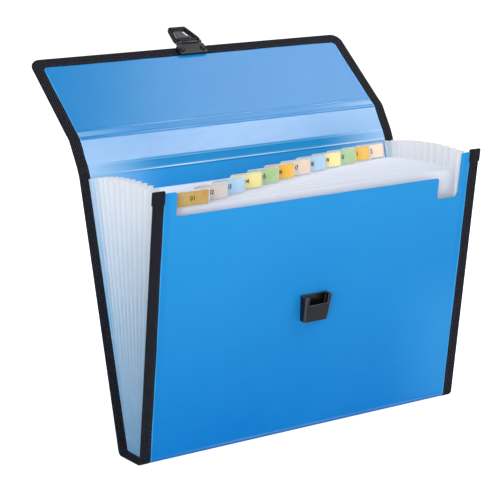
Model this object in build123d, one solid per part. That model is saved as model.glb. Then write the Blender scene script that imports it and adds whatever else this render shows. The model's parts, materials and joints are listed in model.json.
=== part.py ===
from build123d import *
import math
import os

# Accordion file folder, standing open: a folded polypropylene cover bound with woven tape, two pleated
# gussets, twelve tabbed dividers that make thirteen pockets, and a hinged latch with its receiver.
# Millimetres and degrees. +X runs across the folder, +Y to its back, +Z up.
# The origin is the middle of the flat underside.

# Cover sheet
WIDTH = 330.0              # across the folder, over the tape
COVER_T = 0.9
PANEL_H = 232.0            # front and back panels, from bottom crease to top
BASE_DEPTH = 36.0          # between the two bottom creases
LIP_RISE = 3.5             # bottom creases above the underside
LIP_INSET = 1.6            # how far the flat underside stops short of the creases
LIP_BEND_R = 2.2
LOWER_BAND_H = 8.0         # narrow band between the two creases behind the pockets
SPINE_H = 25.5
UPPER_BAND_H = 8.5
FLAP_H = 85.0
FLAP_CORNER_R = 10.0

# Lean of each panel in the standing pose, backwards from upright
FRONT_LEAN = -9.9
BACK_LEAN = 11.9
LOWER_BAND_LEAN = 22.5
SPINE_LEAN = 29.5
UPPER_BAND_LEAN = 50.5
FLAP_LEAN = 48.5

# Front panel's top edge: lowered between two end strips, with a thumb notch at the right
LEFT_STRIP_W = 22.0
RIGHT_STRIP_W = 19.5
EDGE_DROP = 20.5
NOTCH_W = 23.0
NOTCH_DROP = 40.0
NOTCH_R = 5.0
STRIP_CORNER_R = 2.0

# Binding tape
TAPE_W = 10.0
TAPE_T = 0.5
TAPE_FOLD_H = 11.0         # folded double at the top of the front panel
TAPE_FOLD_EXTRA = 0.9      # the fold is this much wider
FLAP_TAPE_INNER_R = 4.0

# Pockets
POCKETS = 13
DIVIDER_T = 0.45
DIVIDER_DROP = 16.8        # sheet's top edge below the cover's, when both are upright
DIVIDER_BEAD_R = 0.5
TAB_W = 32.0
TAB_H = 14.0
TAB_CORNER_R = 2.5
TAB_LEFT_MARGIN = 9.0      # first tab from the sheet's left edge
TAB_RIGHT_MARGIN = 2.0     # last tab from the sheet's right edge
LABEL_W = 29.5
LABEL_H = 12.0
LABEL_T = 0.2
LABEL_RISE = 0.8           # label's lower edge above the sheet's top edge

# Pleated gussets
GUSSET_T = 0.4
GUSSET_INSET = 5.5         # outer folds inside the cover's edges
PLEAT_DEPTH = 11.0
GUSSET_TOP_DROP = 1.5      # below the panels' top, on the arc of the fan

# Latch on the flap's edge and its receiver on the front panel
LATCH_X = -2.5
LATCH_W = 29.0
LATCH_PLATE_H = 11.0
LATCH_PLATE_T = 2.6
LATCH_BACKING_T = 1.8
LATCH_CORNER_R = 1.6
LATCH_OVERHANG = 0.6       # plates stand past the flap's edge
RIVET_PITCH = 22.0
RIVET_SHANK_R = 1.6
RIVET_HEAD_R = 2.8
RIVET_HEAD_H = 1.1
RIVET_SLOT_W = 0.7
PIN_R = 0.75
KNUCKLE_R = 1.9
HINGE_RISE = 3.0           # hinge axis past the flap's edge
EAR_W = 4.3
TONGUE_L = 25.0            # hinge axis to tip
TONGUE_ROOT_W = 25.6
TONGUE_TIP_W = 17.6
TONGUE_T = 4.0
TONGUE_RAIL_W = 2.6
TONGUE_SHOULDER = 6.0      # straight stretch before the sides taper in
TONGUE_END_BAR = 3.2
TONGUE_PLATE_T = 1.3
TONGUE_PLATE_START = 8.5
TONGUE_SLOT_W = 3.2
TONGUE_HOOK = 0.9
TONGUE_TILT = 15.0         # stands this far behind the flap's plane
RECEIVER_TOP_W = 27.0
RECEIVER_BOTTOM_W = 24.0
RECEIVER_H = 23.5
RECEIVER_TOP_DEPTH = 9.2
RECEIVER_BOTTOM_DEPTH = 6.4
RECEIVER_WALL = 1.3
RECEIVER_FLOOR = 1.6
RECEIVER_MOUTH_DROP = 7.5  # front wall's lowered middle
RECEIVER_MOUTH_W = 19.2
RECEIVER_BEVEL = 0.8
LATCH_REACH = 5.5          # tongue's tip below the receiver's top edge when the flap is folded over
RECEIVER_RIVET_PITCH = 12.0
RECEIVER_RIVET_RISE = 9.0
RECEIVER_RIVET_HEAD_R = 2.3
RECEIVER_RIVET_HEAD_H = 0.7

# Clearances
CREASE_GAP = 0.3           # between a crease's bead and the next panel
TAPE_CREASE_GAP = 1.0      # tape stops short of a crease's axis
SEAT_GAP = 0.3             # sheets above the base
GUSSET_GAP = 0.5           # gusset to divider edges and to the panels' tape
RIVET_GAP = 0.1
PIN_RUNNING_GAP = 0.05
PIN_SEAT_GAP = 0.02
KNUCKLE_SIDE_GAP = 0.3
KNUCKLE_SWING_GAP = 0.4
CUT_MARGIN = 5.0           # shapes that cut run this far past what they cut

# Worked out from the sizes above
HALF_T = COVER_T / 2
SHEET_HALF_W = WIDTH / 2 - TAPE_T
TAPE_FACE = HALF_T + TAPE_T
SHEET_START = HALF_T + CREASE_GAP
DIVIDERS = POCKETS - 1
DIVIDER_AXIS_Z = COVER_T + SEAT_GAP + DIVIDER_BEAD_R
DIVIDER_H = PANEL_H + LIP_RISE - DIVIDER_AXIS_Z - DIVIDER_DROP
GUSSET_OUTER_X = WIDTH / 2 - GUSSET_INSET
DIVIDER_W = 2 * (GUSSET_OUTER_X - PLEAT_DEPTH - GUSSET_GAP)
FIRST_TAB_X = -DIVIDER_W / 2 + TAB_LEFT_MARGIN + TAB_W / 2
LAST_TAB_X = DIVIDER_W / 2 - TAB_RIGHT_MARGIN - TAB_W / 2
TAB_PITCH = (LAST_TAB_X - FIRST_TAB_X) / (DIVIDERS - 1)
RECEIVER_TOP = PANEL_H - (FLAP_H + HINGE_RISE + TONGUE_L) + LATCH_REACH
RECEIVER_RIVET_UP = RECEIVER_TOP - RECEIVER_H + RECEIVER_RIVET_RISE
LATCH_RIVET_UP = FLAP_H - LATCH_PLATE_H / 2
EAR_MIDDLE = (TONGUE_ROOT_W - EAR_W) / 2


def axis_bead(radius, length, across=0.0, up=0.0):
    """A round bar along X, centred on a crease or hinge line."""
    return Pos(across, 0, up) * Rot(0, 90, 0) * Cylinder(radius, length)


def upright(sketch, thickness, behind=0.0):
    """A sketch of (across, up) made into an upright sheet whose middle lies behind the origin."""
    return extrude(Plane.XZ.offset(-behind) * sketch, amount=thickness / 2, both=True)


def block(x_range, y_range, z_range):
    """A box between two values on each axis."""
    corner = Pos(*[(low + high) / 2 for low, high in (x_range, y_range, z_range)])
    return corner * Box(*[high - low for low, high in (x_range, y_range, z_range)])


def edge_span(side, width):
    """The X range of a strip of that width along the cover's left or right edge."""
    edges = (side * WIDTH / 2, side * (WIDTH / 2 - width))
    return (min(edges), max(edges))


def rectangle(x_low, x_high, y_low, y_high):
    return Pos((x_low + x_high) / 2, (y_low + y_high) / 2) * Rectangle(x_high - x_low, y_high - y_low)


def rounded(sketch, corners, radius):
    """Rounds the corners of a sketch that lie nearest to the given points."""
    for corner in corners:
        nearest = sketch.vertices().sort_by_distance((corner[0], corner[1], 0))[0]
        sketch = fillet(nearest, radius)
    return sketch


def leaning(y, z, lean):
    """Where a sheet's lower crease lies at (y, z) and the sheet leans back by an angle."""
    return Location((0, y, z), (-lean, 0, 0))


def along(start, length, lean):
    """The point at a distance up a leaning sheet, as (y, z)."""
    turn = math.radians(lean)
    return (start[0] + length * math.sin(turn), start[1] + length * math.cos(turn))


# Crease lines in the side view, as (y, z)
FRONT_CREASE = (-BASE_DEPTH / 2, LIP_RISE)
BACK_CREASE = (BASE_DEPTH / 2, LIP_RISE)
LOWER_BAND_CREASE = along(BACK_CREASE, PANEL_H, BACK_LEAN)
SPINE_CREASE = along(LOWER_BAND_CREASE, LOWER_BAND_H, LOWER_BAND_LEAN)
UPPER_BAND_CREASE = along(SPINE_CREASE, SPINE_H, SPINE_LEAN)
FLAP_CREASE = along(UPPER_BAND_CREASE, UPPER_BAND_H, UPPER_BAND_LEAN)

FRONT_PLACE = leaning(*FRONT_CREASE, FRONT_LEAN)
BACK_PLACE = leaning(*BACK_CREASE, BACK_LEAN)
LOWER_BAND_PLACE = leaning(*LOWER_BAND_CREASE, LOWER_BAND_LEAN)
SPINE_PLACE = leaning(*SPINE_CREASE, SPINE_LEAN)
UPPER_BAND_PLACE = leaning(*UPPER_BAND_CREASE, UPPER_BAND_LEAN)
FLAP_PLACE = leaning(*FLAP_CREASE, FLAP_LEAN)

# Latch hinge, in the flap's own frame
LATCH_HINGE_Y = -(TAPE_FACE + KNUCKLE_R + SEAT_GAP / 2)
LATCH_HINGE_UP = FLAP_H + HINGE_RISE
TONGUE_PLACE = FLAP_PLACE * Location((LATCH_X, LATCH_HINGE_Y, LATCH_HINGE_UP), (-TONGUE_TILT, 0, 0))

pieces = {}


# Base: a shallow tray whose turned-up lips end in the bottom creases
def tray_line():
    flat_half = BASE_DEPTH / 2 - LIP_INSET
    points = [FRONT_CREASE, (-flat_half, HALF_T), (flat_half, HALF_T), BACK_CREASE]
    return FilletPolyline(*points, radius=LIP_BEND_R)


def tray_section(thickness):
    return Plane.YZ * trace(tray_line(), line_width=thickness)


def bottom_panel():
    """The tray is thinned from below at both ends, where the tape lies flush with its underside."""
    tray = extrude(tray_section(COVER_T), amount=SHEET_HALF_W, both=True)
    for y, z in (FRONT_CREASE, BACK_CREASE):
        tray += Pos(0, y, z) * axis_bead(HALF_T, 2 * SHEET_HALF_W)
    for side in (-1, 1):
        tray -= block(edge_span(side, TAPE_W), (-BASE_DEPTH, BASE_DEPTH), (-CUT_MARGIN, TAPE_T))
    return tray


def bottom_binding(side, tray):
    low, high = edge_span(side, TAPE_W)
    wrap = Pos(low, 0, 0) * extrude(tray_section(2 * TAPE_FACE), amount=high - low)
    below_creases = block((low, high), (-BASE_DEPTH, BASE_DEPTH), (0, LIP_RISE - TAPE_CREASE_GAP))
    return (wrap & below_creases) - tray


pieces["bottom_panel"] = bottom_panel()
pieces["bottom_binding_left"] = bottom_binding(-1, pieces["bottom_panel"])
pieces["bottom_binding_right"] = bottom_binding(1, pieces["bottom_panel"])


# Cover sheets and their tape, each drawn upright from its own lower crease
def sheet(height, beaded=True):
    plain = upright(rectangle(-SHEET_HALF_W, SHEET_HALF_W, SHEET_START, height), COVER_T)
    if beaded:
        plain += axis_bead(HALF_T, 2 * SHEET_HALF_W, up=height)
    return plain


def side_tape(side, low, high, panel):
    """Tape folded round one upright edge of a sheet."""
    return block(edge_span(side, TAPE_W), (-TAPE_FACE, TAPE_FACE), (low, high)) - panel


def front_panel():
    outline = rectangle(-SHEET_HALF_W, SHEET_HALF_W, SHEET_START, PANEL_H)
    left_in = -WIDTH / 2 + LEFT_STRIP_W
    right_in = WIDTH / 2 - RIGHT_STRIP_W
    edge = PANEL_H - EDGE_DROP
    notch_floor = PANEL_H - NOTCH_DROP
    outline -= rectangle(left_in, right_in, edge, PANEL_H + CUT_MARGIN)
    outline -= rectangle(right_in - NOTCH_W, right_in, notch_floor, PANEL_H + CUT_MARGIN)
    outline = rounded(outline, [(right_in, notch_floor)], NOTCH_R)
    strip_corners = [(left_in, PANEL_H), (left_in, edge), (right_in, PANEL_H)]
    notch_corners = [(right_in - NOTCH_W, edge), (right_in - NOTCH_W, notch_floor)]
    outline = rounded(outline, strip_corners + notch_corners, STRIP_CORNER_R)
    panel = upright(outline, COVER_T)
    for side in (-1, 1):
        across = LATCH_X + side * RECEIVER_RIVET_PITCH / 2
        hole = Cylinder(RIVET_SHANK_R + RIVET_GAP, COVER_T + CUT_MARGIN)
        panel -= Pos(across, 0, RECEIVER_RIVET_UP) * Rot(90, 0, 0) * hole
    return panel


def front_binding(side, panel):
    """Edge tape with its end folded double over the panel's top corner."""
    tape = side_tape(side, TAPE_CREASE_GAP, PANEL_H + TAPE_T, panel)
    span = edge_span(side, TAPE_W + TAPE_FOLD_EXTRA)
    face = TAPE_FACE + TAPE_T
    fold = block(span, (-face, face), (PANEL_H - TAPE_FOLD_H, PANEL_H + TAPE_T))
    return tape + (fold - panel)


def receiver_block(inset, low, high):
    """Tapered box between two heights of the receiver, drawn in from its outside by an inset."""
    sections = []
    for up in (low, high):
        share = up / RECEIVER_H
        half = (RECEIVER_BOTTOM_W + (RECEIVER_TOP_W - RECEIVER_BOTTOM_W) * share) / 2 - inset
        depth = RECEIVER_BOTTOM_DEPTH + (RECEIVER_TOP_DEPTH - RECEIVER_BOTTOM_DEPTH) * share
        sections.append(Pos(0, 0, up) * rectangle(-half, half, inset - depth, -inset))
    return loft(sections, ruled=True)


def latch_receiver():
    """Box with an open top whose front wall is lowered between two corner posts."""
    body = receiver_block(0.0, 0.0, RECEIVER_H)
    front_edges = body.edges().filter_by(lambda edge: edge.bounding_box().size.Z > RECEIVER_H / 2)
    front_edges = front_edges.sort_by(Axis.Y)[:2]
    body = chamfer(front_edges, RECEIVER_BEVEL)
    past_top = RECEIVER_H + CUT_MARGIN
    body -= receiver_block(RECEIVER_WALL, RECEIVER_FLOOR, past_top)
    mouth_half = RECEIVER_MOUTH_W / 2
    mouth_back = -RECEIVER_BOTTOM_DEPTH / 2
    mouth_low = RECEIVER_H - RECEIVER_MOUTH_DROP
    past_front = -RECEIVER_TOP_DEPTH - CUT_MARGIN
    body -= block((-mouth_half, mouth_half), (past_front, mouth_back), (mouth_low, past_top))
    for side in (-1, 1):
        hole = Rot(90, 0, 0) * Cylinder(RIVET_SHANK_R + RIVET_GAP, RECEIVER_BOTTOM_DEPTH)
        body -= Pos(side * RECEIVER_RIVET_PITCH / 2, 0, RECEIVER_RIVET_RISE) * hole
    return Pos(LATCH_X, -HALF_T, RECEIVER_TOP - RECEIVER_H) * body


def rivet(front_face, back_face, head_r, head_h, slotted=False):
    """A rivet along Y: low bevelled heads on two faces, joined by its shank."""
    length = back_face - front_face
    shank = Pos(0, (front_face + back_face) / 2, 0) * Rot(90, 0, 0) * Cylinder(RIVET_SHANK_R, length)
    front_head = Rot(90, 0, 0) * Cylinder(head_r, head_h)
    front_head = chamfer(front_head.edges().sort_by(Axis.Y)[0], head_h / 2)
    front_head = Pos(0, front_face - head_h / 2, 0) * front_head
    if slotted:
        slot = Box(RIVET_SLOT_W, head_h, 2 * head_r + CUT_MARGIN)
        for side in (-1, 1):
            front_head -= Pos(side * head_r / 2, front_face - head_h, 0) * slot
    back_head = Rot(90, 0, 0) * Cylinder(head_r, head_h)
    back_head = chamfer(back_head.edges().sort_by(Axis.Y)[-1], head_h / 2)
    back_head = Pos(0, back_face + head_h / 2, 0) * back_head
    return shank + front_head + back_head


def receiver_rivets():
    front_face = -HALF_T - RECEIVER_WALL
    pair = []
    for side in (-1, 1):
        across = LATCH_X + side * RECEIVER_RIVET_PITCH / 2
        one = rivet(front_face, HALF_T, RECEIVER_RIVET_HEAD_R, RECEIVER_RIVET_HEAD_H)
        pair.append(Pos(across, 0, RECEIVER_RIVET_UP) * one)
    return pair


front = front_panel()
back = sheet(PANEL_H)
pieces["front_panel"] = FRONT_PLACE * front
pieces["back_panel"] = BACK_PLACE * back
for side, side_name in ((-1, "left"), (1, "right")):
    pieces["front_binding_" + side_name] = FRONT_PLACE * front_binding(side, front)
    tape = side_tape(side, TAPE_CREASE_GAP, PANEL_H - TAPE_CREASE_GAP, back)
    pieces["back_binding_" + side_name] = BACK_PLACE * tape
pieces["latch_receiver"] = FRONT_PLACE * latch_receiver()
pieces["receiver_rivets"] = [FRONT_PLACE * one for one in receiver_rivets()]

for name, height, place in (("lower_crease_band", LOWER_BAND_H, LOWER_BAND_PLACE),
                            ("spine_strip", SPINE_H, SPINE_PLACE),
                            ("upper_crease_band", UPPER_BAND_H, UPPER_BAND_PLACE)):
    band = sheet(height)
    pieces[name] = place * band
    tapes = [side_tape(side, TAPE_CREASE_GAP, height - TAPE_CREASE_GAP, band) for side in (-1, 1)]
    pieces[name + "_bindings"] = [place * tape for tape in tapes]


# Flap, bound on three sides, with the latch riveted through its edge
def latch_rivet_holes():
    stack = 2 * (TAPE_FACE + LATCH_PLATE_T)
    holes = []
    for side in (-1, 1):
        hole = Rot(90, 0, 0) * Cylinder(RIVET_SHANK_R + RIVET_GAP, stack + CUT_MARGIN)
        holes.append(Pos(LATCH_X + side * RIVET_PITCH / 2, 0, LATCH_RIVET_UP) * hole)
    return holes


def flap_panel():
    outline = rectangle(-SHEET_HALF_W, SHEET_HALF_W, SHEET_START, FLAP_H - TAPE_T)
    corners = [(-SHEET_HALF_W, FLAP_H), (SHEET_HALF_W, FLAP_H)]
    outline = rounded(outline, corners, FLAP_CORNER_R - TAPE_T)
    return upright(outline, COVER_T) - latch_rivet_holes()


def flap_binding(panel):
    outer = rectangle(-WIDTH / 2, WIDTH / 2, TAPE_CREASE_GAP, FLAP_H)
    outer = rounded(outer, [(-WIDTH / 2, FLAP_H), (WIDTH / 2, FLAP_H)], FLAP_CORNER_R)
    inner_half = WIDTH / 2 - TAPE_W
    inner = rectangle(-inner_half, inner_half, -CUT_MARGIN, FLAP_H - TAPE_W)
    inner = rounded(inner, [(-inner_half, FLAP_H), (inner_half, FLAP_H)], FLAP_TAPE_INNER_R)
    return upright(outer - inner, 2 * TAPE_FACE) - panel - latch_rivet_holes()


def latch_plate(thickness, behind):
    top = FLAP_H + LATCH_OVERHANG
    half = LATCH_W / 2
    outline = rectangle(LATCH_X - half, LATCH_X + half, top - LATCH_PLATE_H, top)
    outline = fillet(outline.vertices(), LATCH_CORNER_R)
    return upright(outline, thickness, behind) - latch_rivet_holes()


def latch_base():
    """Plate on the flap's inner side with two ears that carry the tongue's hinge pin."""
    plate = latch_plate(LATCH_PLATE_T, -(TAPE_FACE + LATCH_PLATE_T / 2))
    for side in (-1, 1):
        middle = LATCH_X + side * EAR_MIDDLE
        span = (middle - EAR_W / 2, middle + EAR_W / 2)
        root = FLAP_H + LATCH_OVERHANG - KNUCKLE_R
        plate += block(span, (-TAPE_FACE - LATCH_PLATE_T, -TAPE_FACE - SEAT_GAP), (root, LATCH_HINGE_UP))
        plate += Pos(0, LATCH_HINGE_Y, 0) * axis_bead(KNUCKLE_R, EAR_W, middle, LATCH_HINGE_UP)
    return plate - Pos(0, LATCH_HINGE_Y, 0) * axis_bead(PIN_R + PIN_SEAT_GAP, LATCH_W, LATCH_X, LATCH_HINGE_UP)


def latch_rivets():
    front_face = -TAPE_FACE - LATCH_PLATE_T
    back_face = TAPE_FACE + LATCH_BACKING_T
    pair = []
    for side in (-1, 1):
        one = rivet(front_face, back_face, RIVET_HEAD_R, RIVET_HEAD_H, slotted=True)
        pair.append(Pos(LATCH_X + side * RIVET_PITCH / 2, 0, LATCH_RIVET_UP) * one)
    return pair


def latch_pin():
    length = 2 * EAR_MIDDLE + EAR_W
    return Pos(0, LATCH_HINGE_Y, 0) * axis_bead(PIN_R, length, LATCH_X, LATCH_HINGE_UP)


def tongue_outline(inset):
    """Half widths at the root, the shoulder and the tip, drawn in by an inset, as a closed outline."""
    root = TONGUE_ROOT_W / 2 - inset
    tip = TONGUE_TIP_W / 2 - inset
    start = KNUCKLE_R + KNUCKLE_SWING_GAP
    corners = [(-root, start), (root, start), (root, TONGUE_SHOULDER), (tip, TONGUE_L)]
    corners += [(-tip, TONGUE_L), (-root, TONGUE_SHOULDER)]
    return make_face(Polyline(*corners, close=True))


def latch_tongue():
    """Tapered frame with an end bar, and a thinner spring plate hanging from it between two slots."""
    outline = rounded(tongue_outline(0.0), [(-TONGUE_TIP_W / 2, TONGUE_L), (TONGUE_TIP_W / 2, TONGUE_L)],
                      LATCH_CORNER_R)
    frame = upright(outline, TONGUE_T)
    web_top = KNUCKLE_R + KNUCKLE_SWING_GAP + TONGUE_RAIL_W
    bar_low = TONGUE_L - TONGUE_END_BAR
    opening = tongue_outline(TONGUE_RAIL_W) & rectangle(-LATCH_W, LATCH_W, web_top, bar_low)
    frame -= upright(opening, TONGUE_T + CUT_MARGIN)
    plate_outline = tongue_outline(TONGUE_RAIL_W + TONGUE_SLOT_W)
    plate_outline &= rectangle(-LATCH_W, LATCH_W, TONGUE_PLATE_START, TONGUE_L - TONGUE_END_BAR / 2)
    plate = upright(plate_outline, TONGUE_PLATE_T, (TONGUE_T - TONGUE_PLATE_T) / 2)
    lip_outline = plate_outline & rectangle(-LATCH_W, LATCH_W, 0, TONGUE_PLATE_START + TONGUE_PLATE_T)
    lip = upright(lip_outline, 2 * TONGUE_PLATE_T)
    hook_half = TONGUE_TIP_W / 2 - LATCH_CORNER_R
    hook_face = TONGUE_T / 2
    hook = block((-hook_half, hook_half), (-hook_face - TONGUE_HOOK, -hook_face),
                 (bar_low, TONGUE_L - LATCH_CORNER_R))
    barrel_l = 2 * (EAR_MIDDLE - EAR_W / 2 - KNUCKLE_SIDE_GAP)
    neck_half = barrel_l / 2
    neck = block((-neck_half, neck_half), (-KNUCKLE_R, KNUCKLE_R), (0, web_top))
    tongue = frame + plate + lip + hook + neck + axis_bead(KNUCKLE_R, barrel_l)
    return tongue - axis_bead(PIN_R + PIN_RUNNING_GAP, LATCH_W)


flap = flap_panel()
pieces["flap_panel"] = FLAP_PLACE * flap
pieces["flap_binding"] = FLAP_PLACE * flap_binding(flap)
pieces["latch_base"] = FLAP_PLACE * latch_base()
pieces["latch_backing_plate"] = FLAP_PLACE * latch_plate(LATCH_BACKING_T, TAPE_FACE + LATCH_BACKING_T / 2)
pieces["latch_rivets"] = [FLAP_PLACE * one for one in latch_rivets()]
pieces["latch_hinge_pin"] = FLAP_PLACE * latch_pin()
pieces["latch_tongue"] = TONGUE_PLACE * latch_tongue()


# Dividers fan out evenly between the front and back panels, each with its tab further to the right
def divider_axis(number):
    """The (y, z) of a divider's bottom bead and the divider's lean."""
    share = number / POCKETS
    lean = FRONT_LEAN + (BACK_LEAN - FRONT_LEAN) * share
    return (BASE_DEPTH * (share - 0.5), DIVIDER_AXIS_Z), lean


def tab_middle(number):
    return FIRST_TAB_X + (number - 1) * TAB_PITCH


def divider(number):
    middle = tab_middle(number)
    tab_top = DIVIDER_H + TAB_H
    outline = rectangle(-DIVIDER_W / 2, DIVIDER_W / 2, 0, DIVIDER_H)
    tab = rectangle(middle - TAB_W / 2, middle + TAB_W / 2, DIVIDER_H - TAB_H, tab_top)
    tab = rounded(tab, [(middle - TAB_W, tab_top), (middle + TAB_W, tab_top)], TAB_CORNER_R)
    return upright(outline + tab, DIVIDER_T) + axis_bead(DIVIDER_BEAD_R, DIVIDER_W)


def label(number):
    """Paper label on the tab's front face."""
    middle = tab_middle(number)
    low = DIVIDER_H + LABEL_RISE
    outline = rectangle(middle - LABEL_W / 2, middle + LABEL_W / 2, low, low + LABEL_H)
    return upright(outline, LABEL_T, -(DIVIDER_T + LABEL_T) / 2)


for number in range(1, DIVIDERS + 1):
    axis, lean = divider_axis(number)
    place = leaning(*axis, lean)
    pieces[f"divider_{number:02d}"] = place * divider(number)
    pieces[f"label_{number:02d}"] = place * label(number)


# Gussets: one pleated sheet a side, folded in to each divider's edge and out again between them
FRONT_SLOPE = math.tan(math.radians(FRONT_LEAN))
BACK_SLOPE = math.tan(math.radians(BACK_LEAN))
GUSSET_LOW = LIP_RISE + HALF_T + SEAT_GAP
GUSSET_CLEAR = TAPE_FACE + TAPE_T + GUSSET_GAP + GUSSET_T / 2


def fan_arc():
    """The (y, z) where the panels' planes would meet below the base, and the radius of the gussets' tops."""
    drop = BASE_DEPTH / (BACK_SLOPE - FRONT_SLOPE)
    centre = (FRONT_CREASE[0] - drop * FRONT_SLOPE, LIP_RISE - drop)
    return centre, math.dist(centre, along(FRONT_CREASE, PANEL_H, FRONT_LEAN)) - GUSSET_TOP_DROP


def fold_line(x, share, offset=0.0):
    """One fold's foot and head, at a share of the way from the front panel to the back panel."""
    slope = FRONT_SLOPE + (BACK_SLOPE - FRONT_SLOPE) * share
    foot = (BASE_DEPTH * (share - 0.5) + (GUSSET_LOW - LIP_RISE) * slope + offset, GUSSET_LOW)
    centre, radius = fan_arc()
    lean = math.atan(slope)
    across = (foot[0] - centre[0]) * math.cos(lean) - (foot[1] - centre[1]) * math.sin(lean)
    reached = (foot[0] - centre[0]) * math.sin(lean) + (foot[1] - centre[1]) * math.cos(lean)
    head = along(foot, math.sqrt(radius ** 2 - across ** 2) - reached, math.degrees(lean))
    return (x, *foot), (x, *head)


def gusset(side):
    """Each leg between two folds is a pair of flat triangles given the sheet's thickness."""
    outer_x = side * GUSSET_OUTER_X
    inner_x = side * (DIVIDER_W / 2 + GUSSET_GAP)
    folds = [fold_line(outer_x, 0.0, GUSSET_CLEAR)]
    for number in range(1, DIVIDERS + 1):
        folds.append(fold_line(inner_x, number / POCKETS))
        folds.append(fold_line(outer_x, (number + 0.5) / POCKETS))
    folds[-1] = fold_line(outer_x, 1.0, -GUSSET_CLEAR)
    halves = []
    for (foot, head), (next_foot, next_head) in zip(folds, folds[1:]):
        for corners in ((foot, next_foot, head), (next_foot, next_head, head)):
            triangle = make_face(Polyline(*corners, close=True))
            halves.append(Pos(0, -GUSSET_T / 2, 0) * extrude(triangle, amount=GUSSET_T, dir=(0, 1, 0)))
    return halves[0] + halves[1:]


pieces["gusset_left"] = gusset(-1)
pieces["gusset_right"] = gusset(1)

os.makedirs("parts", exist_ok=True)
for name, piece in pieces.items():
    solids = piece if isinstance(piece, list) else piece.solids()
    whole = solids[0] if len(solids) == 1 else Compound(children=list(solids))
    export_step(whole, f"parts/{name}.step")
print(len(pieces), "pieces written")
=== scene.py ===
# %% [markdown]
# # An accordion file folder, dressed for the camera
# The folder's stiff pieces come from its CAD model, already in place and in metres. This lesson gives them
# their finishes and adds what is soft or fine: the creases, the woven tape, the pleated sides, the stitches
# and the numbers on the labels. Each new surface is worked out with numpy and becomes a finished mesh.

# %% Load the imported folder
import json
import math
import bmesh
import bpy
import numpy as np
from mathutils import Matrix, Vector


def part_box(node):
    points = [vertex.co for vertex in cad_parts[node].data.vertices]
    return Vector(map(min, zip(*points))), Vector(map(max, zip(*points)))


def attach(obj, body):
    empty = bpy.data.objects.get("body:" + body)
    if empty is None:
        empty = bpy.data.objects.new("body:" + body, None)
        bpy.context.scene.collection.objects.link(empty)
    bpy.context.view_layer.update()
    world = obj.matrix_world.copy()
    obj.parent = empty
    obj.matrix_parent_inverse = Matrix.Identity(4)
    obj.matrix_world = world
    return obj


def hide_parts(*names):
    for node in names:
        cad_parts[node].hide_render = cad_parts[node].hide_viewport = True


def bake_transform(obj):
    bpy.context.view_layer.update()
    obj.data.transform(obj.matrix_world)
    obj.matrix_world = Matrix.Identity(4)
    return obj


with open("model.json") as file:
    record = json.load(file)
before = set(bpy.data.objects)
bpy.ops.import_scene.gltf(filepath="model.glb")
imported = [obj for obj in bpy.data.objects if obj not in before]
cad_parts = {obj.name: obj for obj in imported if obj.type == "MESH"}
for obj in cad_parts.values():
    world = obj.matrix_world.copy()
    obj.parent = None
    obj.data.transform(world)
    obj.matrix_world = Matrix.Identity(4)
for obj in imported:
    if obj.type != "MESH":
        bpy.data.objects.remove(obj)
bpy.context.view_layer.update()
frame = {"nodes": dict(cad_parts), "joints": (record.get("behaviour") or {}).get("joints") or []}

MM = 0.001
nodes = frame["nodes"]

# %% [markdown]
# ## Where the sheets lie
# The cover is one sheet folded along straight lines, and the CAD model has a joint on each line. So a point
# of the cover needs three numbers: how far across, how far up from the lower crease, and how far out of the
# sheet. With the creases read from the joints, every piece below follows the CAD model without fitting.

# %% Creases and leans
WIDTH = 330 * MM
EDGE_X = WIDTH / 2
PANEL_H = 232 * MM
FLAP_H = 85 * MM
BASE_DEPTH = 36 * MM
LIP_INSET = 1.6 * MM
HALF_T = 0.45 * MM
POCKETS = 13

crease = {joint["name"]: np.array(joint["pos_m"][1:]) for joint in frame["joints"]}
LIP_RISE = crease["front_swing"][1]
LIP_LEAN = math.atan2(LIP_INSET, LIP_RISE - HALF_T)
foot_of = {"front_cover": "front_swing", "back_cover": "back_swing", "lower_band": "spine_fold",
           "spine": "spine_crease", "upper_band": "upper_band_crease", "flap": "flap_crease"}
lean = {"front_cover": math.radians(-9.9), "flap": math.radians(48.5)}
height_of = {"front_cover": PANEL_H, "back_cover": PANEL_H, "flap": FLAP_H}

# From the back up to the flap a sheet leans like the line between its two creases, which is also as long as
# a band is high
chain = list(foot_of)[1:]
for body, above in zip(chain, chain[1:]):
    span = crease[foot_of[above]] - crease[foot_of[body]]
    lean[body] = math.atan2(*span)
    height_of.setdefault(body, float(np.linalg.norm(span)))

# Each crease joins the body below it to the body above it
crossing = {"front_swing": ("base", "front_cover", -LIP_LEAN, lean["front_cover"]),
            "back_swing": ("base", "back_cover", LIP_LEAN, lean["back_cover"])}
for body, above in zip(chain, chain[1:]):
    crossing[foot_of[above]] = (body, above, lean[body], lean[above])
for body, angle in lean.items():
    print(f"{body} leans {math.degrees(angle):.1f} degrees")

# %% Points on a leaning sheet and across a crease
BEND_REACH = 1.0 * MM
CUT_CORNER = 0.1875


def smooth(share):
    """Rises from 0 to 1 with level ends: 3 s squared minus 2 s cubed."""
    share = np.clip(share, 0.0, 1.0)
    return share * share * (3 - 2 * share)


def running_sum(steps):
    """Zero, and then the sum of the steps so far."""
    return np.concatenate([[0.0], np.cumsum(steps)])


def on_sheet(body, across, out, up):
    """Sheet to space: y = y0 + out cos(lean) + up sin(lean) and z = z0 - out sin(lean) + up cos(lean)."""
    across, out, up = np.broadcast_arrays(across, out, up)
    y0, z0 = crease[foot_of[body]]
    sine, cosine = math.sin(lean[body]), math.cos(lean[body])
    return np.stack([across, y0 + out * cosine + up * sine, z0 - out * sine + up * cosine], axis=-1)


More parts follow.
